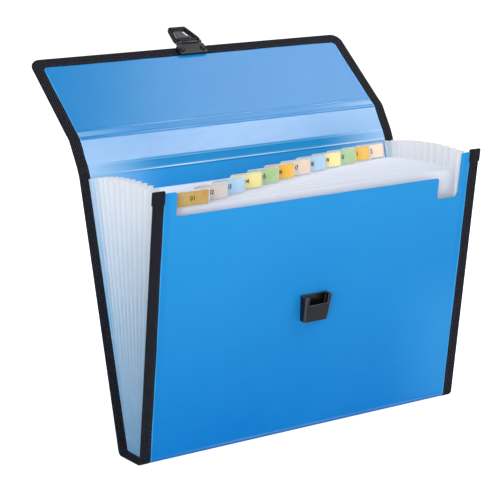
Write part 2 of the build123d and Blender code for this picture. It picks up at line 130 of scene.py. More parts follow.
def bent_line(joint, up, reach=BEND_REACH, cut=0.0):
    """The middle line of a sheet that bends at a crease, for distances up that start below it.

    The lean turns smoothly from the lower sheet's to the upper one's within reach of the crease, and the
    line is the running sum of (sin, cos) of the lean. It passes cut * reach * turn inside the crease: with
    CUT_CORNER its ends lie on the two sheets, and with 0 it goes through it. Returns y, z and the lean."""
    low_lean, high_lean = crossing[joint][2:]
    turn = low_lean + (high_lean - low_lean) * smooth((up + reach) / (2 * reach))
    middle = (turn[1:] + turn[:-1]) / 2
    y = running_sum(np.sin(middle) * np.diff(up))
    z = running_sum(np.cos(middle) * np.diff(up))
    inside = cut * reach * (high_lean - low_lean)
    half_way = (low_lean + high_lean) / 2
    y0 = crease[joint][0] + inside * math.cos(half_way)
    z0 = crease[joint][1] - inside * math.sin(half_way)
    return y0 + y - np.interp(0, up, y), z0 + z - np.interp(0, up, z), turn


def blend_over(piece):
    """Bakes the piece's place into its mesh."""
    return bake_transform(piece)


print("front panel's top by the formula and in CAD, mm:",
      (on_sheet("front_cover", 0.0, 0.0, PANEL_H)[2] / MM).round(2),
      round(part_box("front_panel")[1][2] / MM, 2))

# %% [markdown]
# ## From arrays to meshes
# A grid of points becomes a mesh by joining neighbours with quads. A closed profile carried along a path is
# the same grid with its last column joined to its first. The two ends are closed with quads between the two
# halves of the profile, which works for a thin folded section where one many-sided face would not.


# %% Mesh helpers
DOUBLES = 1e-7
X_AXIS = np.array([1.0, 0.0, 0.0])


def grid_faces(rows, columns, wrap=False):
    """Quads between neighbouring rows and columns; wrap joins the last column to the first."""
    steps = columns if wrap else columns - 1
    row, column = np.meshgrid(np.arange(rows - 1), np.arange(steps), indexing="ij")
    following = (column + 1) % columns
    corners = [row * columns + column, row * columns + following,
               (row + 1) * columns + following, (row + 1) * columns + column]
    return np.stack(corners, axis=-1).reshape(-1, 4)


def sweep_faces(stations, around):
    """Quads of a closed profile at several stations; it runs out along one half and back along the other."""
    first = np.arange(around // 2 - 1)
    cap = np.stack([first, first + 1, around - 2 - first, around - 1 - first], axis=-1)
    last = (stations - 1) * around
    return np.concatenate([grid_faces(stations, around, wrap=True), cap[:, ::-1], cap + last])


def add_object(name, data):
    """An object in the scene that shows a mesh, a text, a light or a camera."""
    thing = bpy.data.objects.new(name, data)
    bpy.context.scene.collection.objects.link(thing)
    return thing


def mesh_piece(name, points, faces, material, uv=None, marks=None, sharp=35.0):
    """An object from arrays: doubles merged, faces outward, smooth but for edges sharper than an angle."""
    mesh = bpy.data.meshes.new(name)
    mesh.from_pydata(np.reshape(points, (-1, 3)).tolist(), [], np.reshape(faces, (-1, 4)).tolist())
    if uv is not None:
        layer = mesh.uv_layers.new(name="UVMap")
        corner = np.empty(len(mesh.loops), dtype=np.int32)
        mesh.loops.foreach_get("vertex_index", corner)
        layer.data.foreach_set("uv", np.reshape(uv, (-1, 2))[corner].astype(np.float32).ravel())
    for mark_name, values in (marks or {}).items():
        attribute = mesh.attributes.new(mark_name, "FLOAT", "POINT")
        attribute.data.foreach_set("value", np.ravel(values).astype(np.float32))
    work = bmesh.new()
    work.from_mesh(mesh)
    bmesh.ops.remove_doubles(work, verts=work.verts, dist=DOUBLES)
    bmesh.ops.recalc_face_normals(work, faces=work.faces)
    work.to_mesh(mesh)
    work.free()
    mesh.polygons.foreach_set("use_smooth", np.ones(len(mesh.polygons), dtype=bool))
    mesh.set_sharp_from_angle(angle=math.radians(sharp))
    mesh.materials.append(material)
    return add_object(name, mesh)


def thin_shell(middle, half):
    """A closed sheet round a grid of points: each point moved both ways along the surface's normal.

    The normal is the cross product of the grid's two directions of travel. Rows of the result run round the
    section, so the sheet's two faces and its rim are one wrapped grid."""
    normal = np.cross(np.gradient(middle, axis=0), np.gradient(middle, axis=1))
    normal /= np.linalg.norm(normal, axis=-1, keepdims=True)
    section = np.concatenate([middle + normal * half, (middle - normal * half)[:, ::-1]], axis=1)
    return section, sweep_faces(*section.shape[:2])


def superellipse(angle, power_x, power_y):
    """A round-cornered box of half size 1: cos and sin, each to the power 2 over n with its sign kept."""
    cosine, sine = np.cos(angle), np.sin(angle)
    return (np.sign(cosine) * np.abs(cosine) ** (2 / power_x), np.sign(sine) * np.abs(sine) ** (2 / power_y))


print("quads in 3 rows of 4 points:", len(grid_faces(3, 4)), "or wrapped:", len(grid_faces(3, 4, wrap=True)))

# %% [markdown]
# ## Finishes that several materials share
# Moulded and extruded plastics share a fine grain, sheets share a soft cloudiness, and everything handled
# shares faint scuffs. Each of these is one node group, so that a change shows everywhere. A group only puts
# out masks, colours and heights; the shader itself stays in each material.


# %% Node helpers
def new_group(name, inputs, outputs):
    """An empty shader group; an input is (name, kind, default), an output (name, kind).

    Returns the group, the sockets that bring its inputs and those that take its outputs."""
    group = bpy.data.node_groups.new(name, "ShaderNodeTree")
    for socket_name, kind, value in inputs:
        socket = group.interface.new_socket(socket_name, in_out="INPUT", socket_type=kind)
        if value is not None:
            socket.default_value = value
    for socket_name, kind in outputs:
        group.interface.new_socket(socket_name, in_out="OUTPUT", socket_type=kind)
    given = group.nodes.new("NodeGroupInput").outputs[:len(inputs)]
    return group, given, group.nodes.new("NodeGroupOutput").inputs


def add_node(tree, kind, inputs, **settings):
    """The outputs of a new node, whose inputs are linked to a socket or set to a plain value."""
    node = tree.nodes.new("ShaderNode" + kind)
    for name, value in settings.items():
        setattr(node, name, value)
    for key, value in inputs.items():
        if isinstance(value, bpy.types.NodeSocket):
            tree.links.new(value, node.inputs[key])
        else:
            node.inputs[key].default_value = value
    return node.outputs


def sums(tree, operation, first, second=0.0):
    """A Math node's result for two sockets or numbers."""
    return add_node(tree, "Math", {0: first, 1: second}, operation=operation)[0]


def remap(tree, value, from_low, from_high, to_low=0.0, to_high=1.0, style="LINEAR"):
    """A value moved from one range to another and kept inside it."""
    inputs = dict(enumerate((value, from_low, from_high, to_low, to_high)))
    return add_node(tree, "MapRange", inputs, interpolation_type=style)[0]


def noise(tree, vector, scale, detail=3.0, stretch=None):
    """A noise value; stretch multiplies the coordinates first, so that the grain can run one way."""
    if stretch is not None:
        vector = add_node(tree, "Mapping", {"Vector": vector, "Scale": stretch})[0]
    return add_node(tree, "TexNoise", {"Vector": vector, "Scale": scale, "Detail": detail})["Fac"]


def mix_colours(tree, share, first, second):
    """One colour faded into another by a share from 0 to 1."""
    return add_node(tree, "Mix", {"Factor": share, "A": first, "B": second}, data_type="RGBA")["Result"]


def axes(tree, vector):
    """The three parts of a vector."""
    return add_node(tree, "SeparateXYZ", {0: vector})


# %% The shared groups
VECTOR, FLOAT, COLOUR = "NodeSocketVector", "NodeSocketFloat", "NodeSocketColor"
# The part of a noise's range that is used: most of it, its middle, or only its peaks
MOST = (0.3, 0.7)
MIDDLE = (0.35, 0.7)
PEAKS = (0.62, 0.8)
COARSE_SCALE, COARSE_HEIGHT = 0.12, 0.6
# What the twill's height is made up of, and the part of it that counts as ridge
RIB_SLANT, YARN_SLANT = 1.4, 0.4
RIB_HEIGHT, YARN_HEIGHT, UNEVEN_HEIGHT = 0.5, 0.22, 1.8
UNEVEN_SCALE = 520.0
RIDGE = (0.85, 1.6)


def make_fine_grain():
    """Fine embossed grain: two sizes of noise added as a height, and the coarser one as a roughness."""
    group, (vector, scale, smoothest, roughest), result = new_group(
        "fine_grain", [("Vector", VECTOR, None), ("Scale", FLOAT, 900.0), ("Smoothest", FLOAT, 0.3),
                       ("Roughest", FLOAT, 0.4)], [("Roughness", FLOAT), ("Height", FLOAT)])
    coarse = noise(group, vector, sums(group, "MULTIPLY", scale, COARSE_SCALE))
    fine = noise(group, vector, scale, detail=2.0)
    group.links.new(remap(group, coarse, *MOST, smoothest, roughest), result["Roughness"])
    height = sums(group, "ADD", fine, sums(group, "MULTIPLY", coarse, COARSE_HEIGHT))
    group.links.new(height, result["Height"])
    return group


def make_soft_clouds():
    """Slow variation in a sheet's colour: large noise fades a colour towards a second one."""
    group, (vector, scale, amount, colour, cloud_colour), result = new_group(
        "soft_clouds", [("Vector", VECTOR, None), ("Scale", FLOAT, 9.0), ("Amount", FLOAT, 0.5),
                        ("Colour", COLOUR, None), ("Cloud Colour", COLOUR, None)], [("Colour", COLOUR)])
    share = sums(group, "MULTIPLY", remap(group, noise(group, vector, scale), *MIDDLE), amount)
    group.links.new(mix_colours(group, share, colour, cloud_colour), result["Colour"])
    return group


def make_scuffs():
    """Faint handling marks: noise drawn out into streaks in two directions, kept only where it peaks."""
    group, (vector, scale, amount), result = new_group(
        "scuffs", [("Vector", VECTOR, None), ("Scale", FLOAT, 60.0), ("Amount", FLOAT, 0.2)],
        [("Mask", FLOAT)])
    level, slanted = (remap(group, noise(group, vector, scale, 4.0, stretch), *PEAKS)
                      for stretch in ((1.0, 1.0, 9.0), (9.0, 3.0, 1.0)))
    group.links.new(sums(group, "MULTIPLY", sums(group, "MAXIMUM", level, slanted), amount), result["Mask"])
    return group


def make_twill():
    """Woven tape from a UV map in metres: a diagonal rib is a sine of (along + slant * across) over its
    pitch, each rib is broken into yarns by a finer sine across it, and a noise makes the yarns uneven."""
    group, (place, rib_pitch, yarn_pitch), result = new_group(
        "twill", [("UV", VECTOR, None), ("Rib Pitch", FLOAT, 0.0028), ("Yarn Pitch", FLOAT, 0.0006)],
        [("Height", FLOAT), ("Ridge", FLOAT)])
    along, across, _ = axes(group, place)

    def wave(distance, pitch):
        """The sine of a distance, once round for each pitch."""
        turns = sums(group, "DIVIDE", distance, pitch)
        return sums(group, "SINE", sums(group, "MULTIPLY", turns, 2 * math.pi))

    rib = wave(sums(group, "ADD", along, sums(group, "MULTIPLY", across, RIB_SLANT)), rib_pitch)
    yarn = wave(sums(group, "SUBTRACT", across, sums(group, "MULTIPLY", along, YARN_SLANT)), yarn_pitch)
    height = sums(group, "MULTIPLY", rib, RIB_HEIGHT)
    for part, rise in ((yarn, YARN_HEIGHT), (noise(group, place, UNEVEN_SCALE, 2.0), UNEVEN_HEIGHT)):
        height = sums(group, "ADD", height, sums(group, "MULTIPLY", part, rise))
    group.links.new(height, result["Height"])
    group.links.new(remap(group, height, *RIDGE), result["Ridge"])
    return group


fine_grain = make_fine_grain()
soft_clouds = make_soft_clouds()
scuffs = make_scuffs()
twill = make_twill()
print("node groups:", [group.name for group in bpy.data.node_groups])

# %% Material helpers
SKIN_DEPTH = 0.1 * MM


def new_material(name, **settings):
    """A material with one Principled shader and its constants; underscores in their names are spaces."""
    material = bpy.data.materials.new(name)
    material.use_nodes = True
    shader = material.node_tree.nodes["Principled BSDF"]
    for setting, value in settings.items():
        shader.inputs[setting.replace("_", " ")].default_value = value
    return material, material.node_tree, shader


def place_group(tree, group, **values):
    """A shared group in a material, with its own values or links."""
    inputs = {setting.replace("_", " "): value for setting, value in values.items()}
    return add_node(tree, "Group", inputs, node_tree=group)


def object_place(tree):
    """The place of a point in the object's own coordinates."""
    return add_node(tree, "TexCoord", {})["Object"]


def stored_mark(tree, name):
    """A value that the mesh stores at its points."""
    return add_node(tree, "Attribute", {}, attribute_name=name)["Fac"]


def paint(tree, shader, colour, roughness=None):
    """Links the shader's colour, and its roughness where one is given."""
    tree.links.new(colour, shader.inputs["Base Color"])
    if roughness is not None:
        tree.links.new(roughness, shader.inputs["Roughness"])


def bump(tree, shader, height, strength, distance=SKIN_DEPTH):
    """Feeds a height to the shader's normal."""
    inputs = {"Strength": strength, "Distance": distance, "Height": height}
    tree.links.new(add_node(tree, "Bump", inputs)[0], shader.inputs["Normal"])


def rgb(red, green, blue):
    """A colour picked as 0 to 255 values, as linear light."""
    picked = np.array([red, green, blue]) / 255
    linear = np.where(picked <= 0.04045, picked / 12.92, ((picked + 0.055) / 1.055) ** 2.4)
    return (*linear.tolist(), 1.0)


print("a picked grey of 128 is", round(rgb(128, 128, 128)[0], 3), "of full light")

# %% [markdown]
# ## The blue cover
# The cover is extruded polypropylene. Its outer face is embossed and dull, and its inner face, which the open
# flap shows, is smoother and mirrors the lights. Light passes through it, so it looks brighter over white
# sheets than on the flap, which has only air behind it, and darker where the pleated sides are welded on.
# Polypropylene turns pale where it is folded, so a mark stored on the crease strips fades the blue to white.

# %% Cover materials
# DEEP_BLUE: the painted shade low on the cover, and the darker blue over the welds
DEEP_BLUE = rgb(0, 117, 192)
OPEN_BLUE = rgb(34, 141, 206)
FLAP_BLUE = rgb(12, 122, 188)
BAND_BLUE = rgb(0, 126, 186)
SPINE_BLUE = rgb(10, 120, 182)
PALE_BLUE = rgb(56, 164, 226)
# Painted light: the cover is painted paler towards both ends, light that shows through the sheet
PALE_ENDS_LIGHT_BLUE = rgb(176, 208, 238)
GLOW_BLUE = rgb(96, 196, 246)
# Painted light: a pale haze low on the front's right, light that shows through the sheet
LIGHT_HAZE_BLUE = rgb(84, 180, 236)
CREASE_WHITE = rgb(226, 240, 252)
WELD_X = (148.5 * MM, 149.5 * MM)
WELD_SHARE = 0.3
GLOW_X = (153.8 * MM, 154.2 * MM)
GLOW_SHARE = 0.4
PALE_ENDS_X = (80 * MM, EDGE_X)
LIGHT_HAZE_X = (75 * MM, 152 * MM)
LIGHT_HAZE_Z = (150 * MM, 70 * MM)
LIGHT_HAZE_SHARE = 0.2
PLASTIC_IOR = 1.49


def cover_finish(name, open_colour, shine, smoothest, roughest, pale_ends_light=0.0, light_haze=0.0, creased=False):
    """Blue that is paler higher up, a painted shade towards the bottom, darker over the welds, with a bright
    line where light leaves the sheet at the tape, and painted paler towards both ends and low on the right,
    painted light that shows through the sheet."""
    material, tree, shader = new_material(name, IOR=PLASTIC_IOR, Specular_IOR_Level=shine,
                                          Transmission_Weight=0.06)
    place = object_place(tree)
    x, _, z = axes(tree, place)
    from_middle = sums(tree, "ABSOLUTE", x)
    # Darker towards the bottom: a painted shade that fades from DEEP_BLUE up to the top colour
    colour = mix_colours(tree, remap(tree, z, 0.0, PANEL_H), DEEP_BLUE, open_colour)
    # Painted light: a pale haze low on the right
    light_hazed = sums(tree, "MULTIPLY", remap(tree, x, *LIGHT_HAZE_X, 0.0, light_haze, "SMOOTHSTEP"),
                  remap(tree, z, *LIGHT_HAZE_Z, style="SMOOTHSTEP"))
    layers = ((remap(tree, from_middle, *WELD_X, 0.0, WELD_SHARE), DEEP_BLUE),
              (remap(tree, from_middle, *GLOW_X, 0.0, GLOW_SHARE), GLOW_BLUE),
              # Painted light, paler towards both ends
              (remap(tree, from_middle, *PALE_ENDS_X, 0.0, pale_ends_light, "SMOOTHSTEP"), PALE_ENDS_LIGHT_BLUE),
              (light_hazed, LIGHT_HAZE_BLUE))
    for share, tone in layers:
        colour = mix_colours(tree, share, colour, tone)
    colour = place_group(tree, soft_clouds, Vector=place, Amount=0.1, Colour=colour,
                         Cloud_Colour=PALE_BLUE)["Colour"]
    scuffed = place_group(tree, scuffs, Vector=place, Scale=14.0, Amount=0.08)["Mask"]
    colour = mix_colours(tree, scuffed, colour, PALE_BLUE)
    if creased:
        colour = mix_colours(tree, stored_mark(tree, "score"), colour, CREASE_WHITE)
    grain = place_group(tree, fine_grain, Vector=place, Scale=1400.0, Smoothest=smoothest, Roughest=roughest)
    paint(tree, shader, colour, grain["Roughness"])
    bump(tree, shader, grain["Height"], strength=0.1)
    return material


cover_blue = cover_finish("cover_blue", OPEN_BLUE, 0.1, 0.32, 0.42, light_haze=LIGHT_HAZE_SHARE)
back_blue = cover_finish("back_blue", OPEN_BLUE, 0.2, 0.32, 0.42, pale_ends_light=0.6)
band_blue = cover_finish("band_blue", BAND_BLUE, 0.12, 0.3, 0.36, pale_ends_light=0.65)
spine_blue = cover_finish("spine_blue", SPINE_BLUE, 0.5, 0.21, 0.26, pale_ends_light=0.3)
upper_blue = cover_finish("upper_blue", FLAP_BLUE, 0.5, 0.21, 0.26, pale_ends_light=0.35)
flap_blue = cover_finish("flap_blue", FLAP_BLUE, 0.5, 0.21, 0.26)
crease_blue = cover_finish("crease_blue", FLAP_BLUE, 0.2, 0.3, 0.38, creased=True)
fold_blue = cover_finish("fold_blue", BAND_BLUE, 0.12, 0.3, 0.36, pale_ends_light=0.65, creased=True)


def finish(material, *node_names):
    """Gives CAD pieces a finish in place of their plain one."""
    for name in node_names:
        nodes[name].data.materials.clear()
        nodes[name].data.materials.append(material)


finish(cover_blue, "bottom_panel", "front_panel")
finish(back_blue, "back_panel")
finish(band_blue, "lower_crease_band")
finish(spine_blue, "spine_strip")
finish(upper_blue, "upper_crease_band")
finish(flap_blue, "flap_panel")
print("blue cover on seven sheets")

# %% [markdown]
# ## The creases
# A scored crease is a pressed groove with a low ridge on each side. Here it is a narrow closed strip that
# lies over the CAD model's round crease bead: its half thickness is the sheet's own, plus two small humps.

# %% Crease strips
STRIP_REACH = 1.7 * MM
STRIP_END_X = 155.3 * MM
STRIP_HALF = 0.47 * MM
RIDGE_AT = 0.75 * MM
RIDGE_WIDTH = 0.3 * MM
RIDGE_RISE = 0.06 * MM
TAPER_FROM = 1.2 * MM
TAPER_RUN = 0.5 * MM
TAPER_DROP = 0.03 * MM
SCORE_WIDTH = 0.4 * MM
FADE_MEAN, FADE_SWING = 0.7, 0.3
FADE_PITCHES = (47 * MM, 19 * MM)
FADE_IN_X = (-150 * MM, -95 * MM)
# How white each crease has turned
whitening = {"front_swing": 0.22, "back_swing": 0.1, "spine_fold": 1.0, "spine_crease": 0.2,
             "upper_band_crease": 0.35, "flap_crease": 0.55}


def crease_strip(joint, points_up=25, points_across=61):
    """Half thickness h(s) = sheet + ridge exp(-((|s| - at) / width) squared), tapered at the ends. The
    outline is the bent middle line moved out by h on both sides, carried straight across the folder."""
    up = np.linspace(-STRIP_REACH, STRIP_REACH, points_up)
    y, z, turn = bent_line(joint, up)
    half = STRIP_HALF + RIDGE_RISE * np.exp(-((np.abs(up) - RIDGE_AT) / RIDGE_WIDTH) ** 2)
    half = half - TAPER_DROP * smooth((np.abs(up) - TAPER_FROM) / TAPER_RUN)
    outline_y = np.concatenate([y - half * np.cos(turn), (y + half * np.cos(turn))[::-1]])
    outline_z = np.concatenate([z + half * np.sin(turn), (z - half * np.sin(turn))[::-1]])
    across = np.linspace(-STRIP_END_X, STRIP_END_X, points_across)
    x, y = np.meshgrid(across, outline_y, indexing="ij")
    points = np.stack([x, y, np.broadcast_to(outline_z, x.shape)], axis=-1)
    line = np.exp(-(up / SCORE_WIDTH) ** 2) * whitening[joint]
    fade = FADE_MEAN + FADE_SWING * np.sin(across / FADE_PITCHES[0]) * np.cos(across / FADE_PITCHES[1])
    fade = fade * smooth((across - FADE_IN_X[0]) / (FADE_IN_X[1] - FADE_IN_X[0]))
    marks = fade[:, None] * np.concatenate([line, line[::-1]])
    blue = fold_blue if joint in ("spine_fold", "spine_crease") else crease_blue
    piece = mesh_piece("crease_" + joint, points, sweep_faces(*x.shape), blue, marks={"score": marks})
    blend_over(piece)
    return piece


crease_strips = [crease_strip(joint) for joint in crossing]
print("crease strips:", [strip.name for strip in crease_strips])

# %% [markdown]
# ## The woven tape
# A black twill tape is folded round the cover's raw edges and sewn down. Its section is a narrow C: two
# leaves and a round fold. The section is carried up each edge, with a slow wave in its inner edge and a dip
# under the stitch line, because sewn tape is never quite straight. The twill needs to follow the tape, so
# the mesh carries a UV map in metres: along the tape, and round its section.

# %% Tape and thread materials
TAPE_BLACK = rgb(2, 3, 9)
# The ribs' paler colour is a painted highlight
TAPE_RIB_HIGHLIGHT = rgb(46, 48, 60)
THREAD_DARK = rgb(16, 16, 20)
THREAD_LIGHT = rgb(52, 51, 58)
TWIST_PER_M = 9000.0


def tape_finish():
    """Black twill whose raised ribs are less rough and painted paler, a painted highlight."""
    material, tree, shader = new_material("tape_twill", Sheen_Weight=0.02, Sheen_Roughness=0.5,
                                          Specular_IOR_Level=0.15)
    weave = place_group(tree, twill, UV=add_node(tree, "TexCoord", {})["UV"])
    paint(tree, shader, mix_colours(tree, weave["Ridge"], TAPE_BLACK, TAPE_RIB_HIGHLIGHT),
          remap(tree, weave["Ridge"], 0.0, 1.0, 0.85, 0.6))
    bump(tree, shader, weave["Height"], strength=0.7, distance=0.22 * MM)
    return material


def thread_finish():
    """Twisted thread: a fine slanted sine across the object gives the twist."""
    material, tree, shader = new_material("thread_black", Roughness=0.6, IOR=1.45)
    x, y, z = axes(tree, object_place(tree))
    slant = sums(tree, "ADD", sums(tree, "ADD", x, y), z)
    twist = sums(tree, "SINE", sums(tree, "MULTIPLY", slant, TWIST_PER_M))
    paint(tree, shader, mix_colours(tree, remap(tree, twist, -1.0, 1.0), THREAD_DARK, THREAD_LIGHT))
    bump(tree, shader, twist, strength=0.4, distance=0.08 * MM)
    return material


tape_twill = tape_finish()
thread_black = thread_finish()
print("made", tape_twill.name, "and", thread_black.name)

# %% The tape's section
TAPE_W = 10 * MM
TAPE_FACE = 0.95 * MM
TAPE_INNER = 0.475 * MM
SELVEDGE_RUN = 0.5 * MM
SELVEDGE_DROP = 0.14 * MM
STITCH_INSET = 8.3 * MM
STITCH_DIP = 0.1 * MM
DIP_WIDTH = 0.45 * MM
# Height and length of the two waves in the tape's inner edge
LONG_WAVE = (0.16 * MM, 23 * MM)
SHORT_WAVE = (0.1 * MM, 7.3 * MM)


def tape_section(leaf_points=13, fold_points=9):
    """The C as (inward from the fold, out), for its outside and its inside, and the distance along it."""
    inward = np.linspace(TAPE_W, TAPE_FACE, leaf_points)
    angle = np.linspace(-math.pi / 2, math.pi / 2, fold_points)[1:-1]
    selvedge = SELVEDGE_DROP * smooth((inward - TAPE_W + SELVEDGE_RUN) / SELVEDGE_RUN)
    dip = STITCH_DIP * np.exp(-((inward - STITCH_INSET) / DIP_WIDTH) ** 2)

    def leaves_and_fold(face, radius):
        """A leaf, a half circle and the other leaf, where face is how far out the leaves lie."""
        return np.stack([np.concatenate([inward, TAPE_FACE - radius * np.cos(angle), inward[::-1]]),
                         np.concatenate([-face, radius * np.sin(angle), face[::-1]])], axis=-1)

    outside = leaves_and_fold(TAPE_FACE - selvedge - dip, TAPE_FACE)
    inside = leaves_and_fold(np.full(leaf_points, TAPE_INNER), TAPE_INNER)
    return outside, inside, running_sum(np.linalg.norm(np.diff(outside, axis=0), axis=-1))


SECTION_OUT, SECTION_IN, SECTION_RUN = tape_section()
SECTION = np.concatenate([SECTION_OUT, SECTION_IN[::-1]])
SECTION_UV = np.concatenate([SECTION_RUN, SECTION_RUN[::-1]])
print("tape is cut", round(SECTION_RUN[-1] / MM, 1), "mm wide before it is folded")


def tape_wave(run, seed):
    """How far the tape's inner edge strays: two slow sines of the distance along it."""
    return (LONG_WAVE[0] * np.sin(run / LONG_WAVE[1] + seed)
            + SHORT_WAVE[0] * np.sin(run / SHORT_WAVE[1] + 2 * seed))


def tape_uv(run):
    """The distance along the tape and round its section, for every point."""
    return np.stack(np.broadcast_arrays(run[:, None], SECTION_UV), axis=-1)


def tape_along(y, z, turn, side, run, seed):
    """The section carried up a side edge: inward is to the middle, out is square to the leaning sheet."""
    inward = SECTION[:, 0] + tape_wave(run, seed)[:, None] * (SECTION[:, 0] / TAPE_W) ** 2
    out = np.broadcast_to(SECTION[:, 1], inward.shape)
    return np.stack([side * (EDGE_X - inward), y[:, None] + out * np.cos(turn)[:, None],
                     z[:, None] - out * np.sin(turn)[:, None]], axis=-1)


# %% Side tapes
TAPE_REACH = 4.0 * MM
TAPE_PROUD = 0.2 * MM
TAPE_START = {"front_cover": 0.78 * MM, "back_cover": 0.62 * MM}
SIDES = {"left": -1, "right": 1}


def tape_piece(name, points, uv, node):
    """A mesh in twill that stands for a CAD tape."""
    piece = mesh_piece(name, points, sweep_faces(*points.shape[:2]), tape_twill, uv=uv)
    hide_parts(node)
    return piece


def panel_tape(body, side_name, node, top, stations=60):
    """A straight run up the side of the front or the back panel."""
    run = np.linspace(TAPE_START[body], top, stations)
    line = on_sheet(body, 0.0, 0.0, run)
    side = SIDES[side_name]
    points = tape_along(line[:, 1], line[:, 2], np.full(len(run), lean[body]), side, run, side + len(body))
    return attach(tape_piece(f"{body}_tape_{side_name}", points, tape_uv(run), node), body)


def crease_tape(body, side_name, node, low, top, stations=29):
    """A short run over the crease below a band; stiff tape bends over a few millimetres."""
    run = np.linspace(-low, top, stations)
    side = SIDES[side_name]
    line = bent_line(foot_of[body], run, TAPE_REACH, CUT_CORNER)
    points = tape_along(*line, side, run, side + len(body))
    piece = tape_piece(f"{body}_tape_{side_name}", points, tape_uv(run), node)
    return blend_over(piece)


side_tapes = []
for side_name in SIDES:
    for panel, top in (("front", PANEL_H + TAPE_PROUD), ("back", PANEL_H - TAPE_REACH)):
        side_tapes.append(panel_tape(panel + "_cover", side_name, f"{panel}_binding_{side_name}", top))
    low = TAPE_REACH
    for body, node in (("lower_band", "lower_crease_band_bindings"), ("spine", "spine_strip_bindings"),
                       ("upper_band", "upper_crease_band_bindings")):
        side_tapes.append(crease_tape(body, side_name, node, low, height_of[body] / 2))
        low = height_of[body] / 2
print("side tapes:", len(side_tapes))

# %% Tape round the bottom's ends
TURN_R = 4.3 * MM
LEAF_FLOOR = 0.3 * MM
BOTTOM_SEED = 5


def tray_half(panel_lean, points_per_bend=11, points_on_flat=12):
    """Half of the tape's line under the bottom, from the middle out: flat, then an arc up to the panel.

    The arc touches both lines when its centre is radius * tan(half the corner) short of where they cross."""
    crossing_y = BASE_DEPTH / 2 - (LIP_RISE - HALF_T) * math.tan(panel_lean)
    corner = math.pi / 2 - panel_lean
    swing = np.linspace(0.0, corner, points_per_bend)
    bend_y = crossing_y - TURN_R * math.tan(corner / 2) + TURN_R * np.sin(swing)
    bend_z = HALF_T + TURN_R * (1 - np.cos(swing))
    flat = np.linspace(0.0, bend_y[0], points_on_flat)[:-1]
    y = np.concatenate([flat, bend_y])
    z = np.concatenate([np.full(len(flat), HALF_T), bend_z])
    return y, z, np.concatenate([np.full(len(flat), math.pi / 2), math.pi / 2 - swing])


def bottom_tape(side_name):
    """Two half lines, the front one mirrored. The lower leaf lies flush with the underside, not below it."""
    front_y, front_z, front_turn = (part[:0:-1] for part in tray_half(-lean["front_cover"]))
    back_y, back_z, back_turn = tray_half(lean["back_cover"])
    y = np.concatenate([-front_y, back_y])
    z = np.concatenate([front_z, back_z])
    turn = np.concatenate([math.pi - front_turn, back_turn])
    run = running_sum(np.hypot(np.diff(y), np.diff(z)))
    points = tape_along(y, z, turn, SIDES[side_name], run, BOTTOM_SEED + SIDES[side_name])
    around = len(SECTION_OUT)
    points[:, :around, 2] = np.maximum(points[:, :around, 2], 0.0)
    points[:, around:, 2] = np.maximum(points[:, around:, 2], LEAF_FLOOR)
    piece = tape_piece("bottom_tape_" + side_name, points, tape_uv(run), "bottom_binding_" + side_name)
    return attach(piece, "base")


bottom_tapes = [bottom_tape(side_name) for side_name in SIDES]
print("bottom tapes:", [piece.name for piece in bottom_tapes])

# %% [markdown]
# ### The flap's tape
# Round the flap the tape turns two corners. Its fold follows an outline with large corners and its inner edge
# one with small corners, so the leaf is the straight blend between the two outlines. The extra cloth inside
# a corner puckers, which is a ripple that grows towards the inner edge.

# %% The flap's tape
FLAP_CORNER_R = 10 * MM
FLAP_INNER_R = 4 * MM
FLAP_SEED = 1.7
PUCKER_RISE = 0.1 * MM
PUCKER_PITCH = 1.1 * MM
PUCKER_AT, PUCKER_SPREAD = 45, 30


def flap_outline(inset, radius, up_start, near=16, straight=22, corner=15, top=70):
    """Up one side, round a corner, across, round and down, in straight runs and quarter circles.

    Its points are (across, up)."""
    edge = EDGE_X - inset
    crown = FLAP_H - inset
    rise = np.concatenate([np.linspace(up_start, TAPE_REACH, near),
                           np.linspace(TAPE_REACH, crown - radius, straight)[1:]])
    turn = np.linspace(0.0, math.pi / 2, corner)[1:-1]
    left = np.stack([np.full(len(rise), -edge), rise], axis=-1)
    bend = np.stack([-edge + radius * (1 - np.cos(turn)), crown - radius + radius * np.sin(turn)], axis=-1)
    across = np.linspace(-edge + radius, edge - radius, top)
    level = np.stack([across, np.full(top, crown)], axis=-1)
    mirror = np.array([-1.0, 1.0])
    return np.concatenate([left, bend, level, (bend * mirror)[::-1], (left * mirror)[::-1]])


def flap_tape():
    """Leaves blended between the outlines, rippled out of the sheet in the corners and bent at the crease."""
    start = -height_of["upper_band"] / 2
    outer = flap_outline(0.0, FLAP_CORNER_R, start)
    inner = flap_outline(TAPE_W, FLAP_INNER_R, start)
    run = running_sum(np.linalg.norm(np.diff(outer, axis=0), axis=-1))
    inward = SECTION[:, 0] / TAPE_W
    share = inward + tape_wave(run, FLAP_SEED)[:, None] * inward ** 2 / TAPE_W
    flat = outer[:, None] + (inner - outer)[:, None] * share[..., None]
    heading = np.degrees(np.arctan2(*np.gradient(outer, axis=0).T))
    in_corner = np.exp(-((np.abs(np.abs(heading) - PUCKER_AT) / PUCKER_SPREAD) ** 2))
    pucker = in_corner * PUCKER_RISE * np.sin(run / PUCKER_PITCH)
    out = SECTION[:, 1] + np.sign(SECTION[:, 1]) * pucker[:, None] * np.clip(share, 0, 1) ** 2
    order = np.argsort(flat[..., 1], axis=None)
    line = bent_line("flap_crease", flat[..., 1].ravel()[order], TAPE_REACH, CUT_CORNER)
    y, z, turn = (values[np.argsort(order)].reshape(flat.shape[:2]) for values in line)
    points = np.stack([flat[..., 0], y + out * np.cos(turn), z - out * np.sin(turn)], axis=-1)
    piece = tape_piece("flap_tape", points, tape_uv(run), "flap_binding")
    return blend_over(piece)


flap_tape_piece = flap_tape()
print("flap tape has", len(flap_tape_piece.data.polygons), "faces")

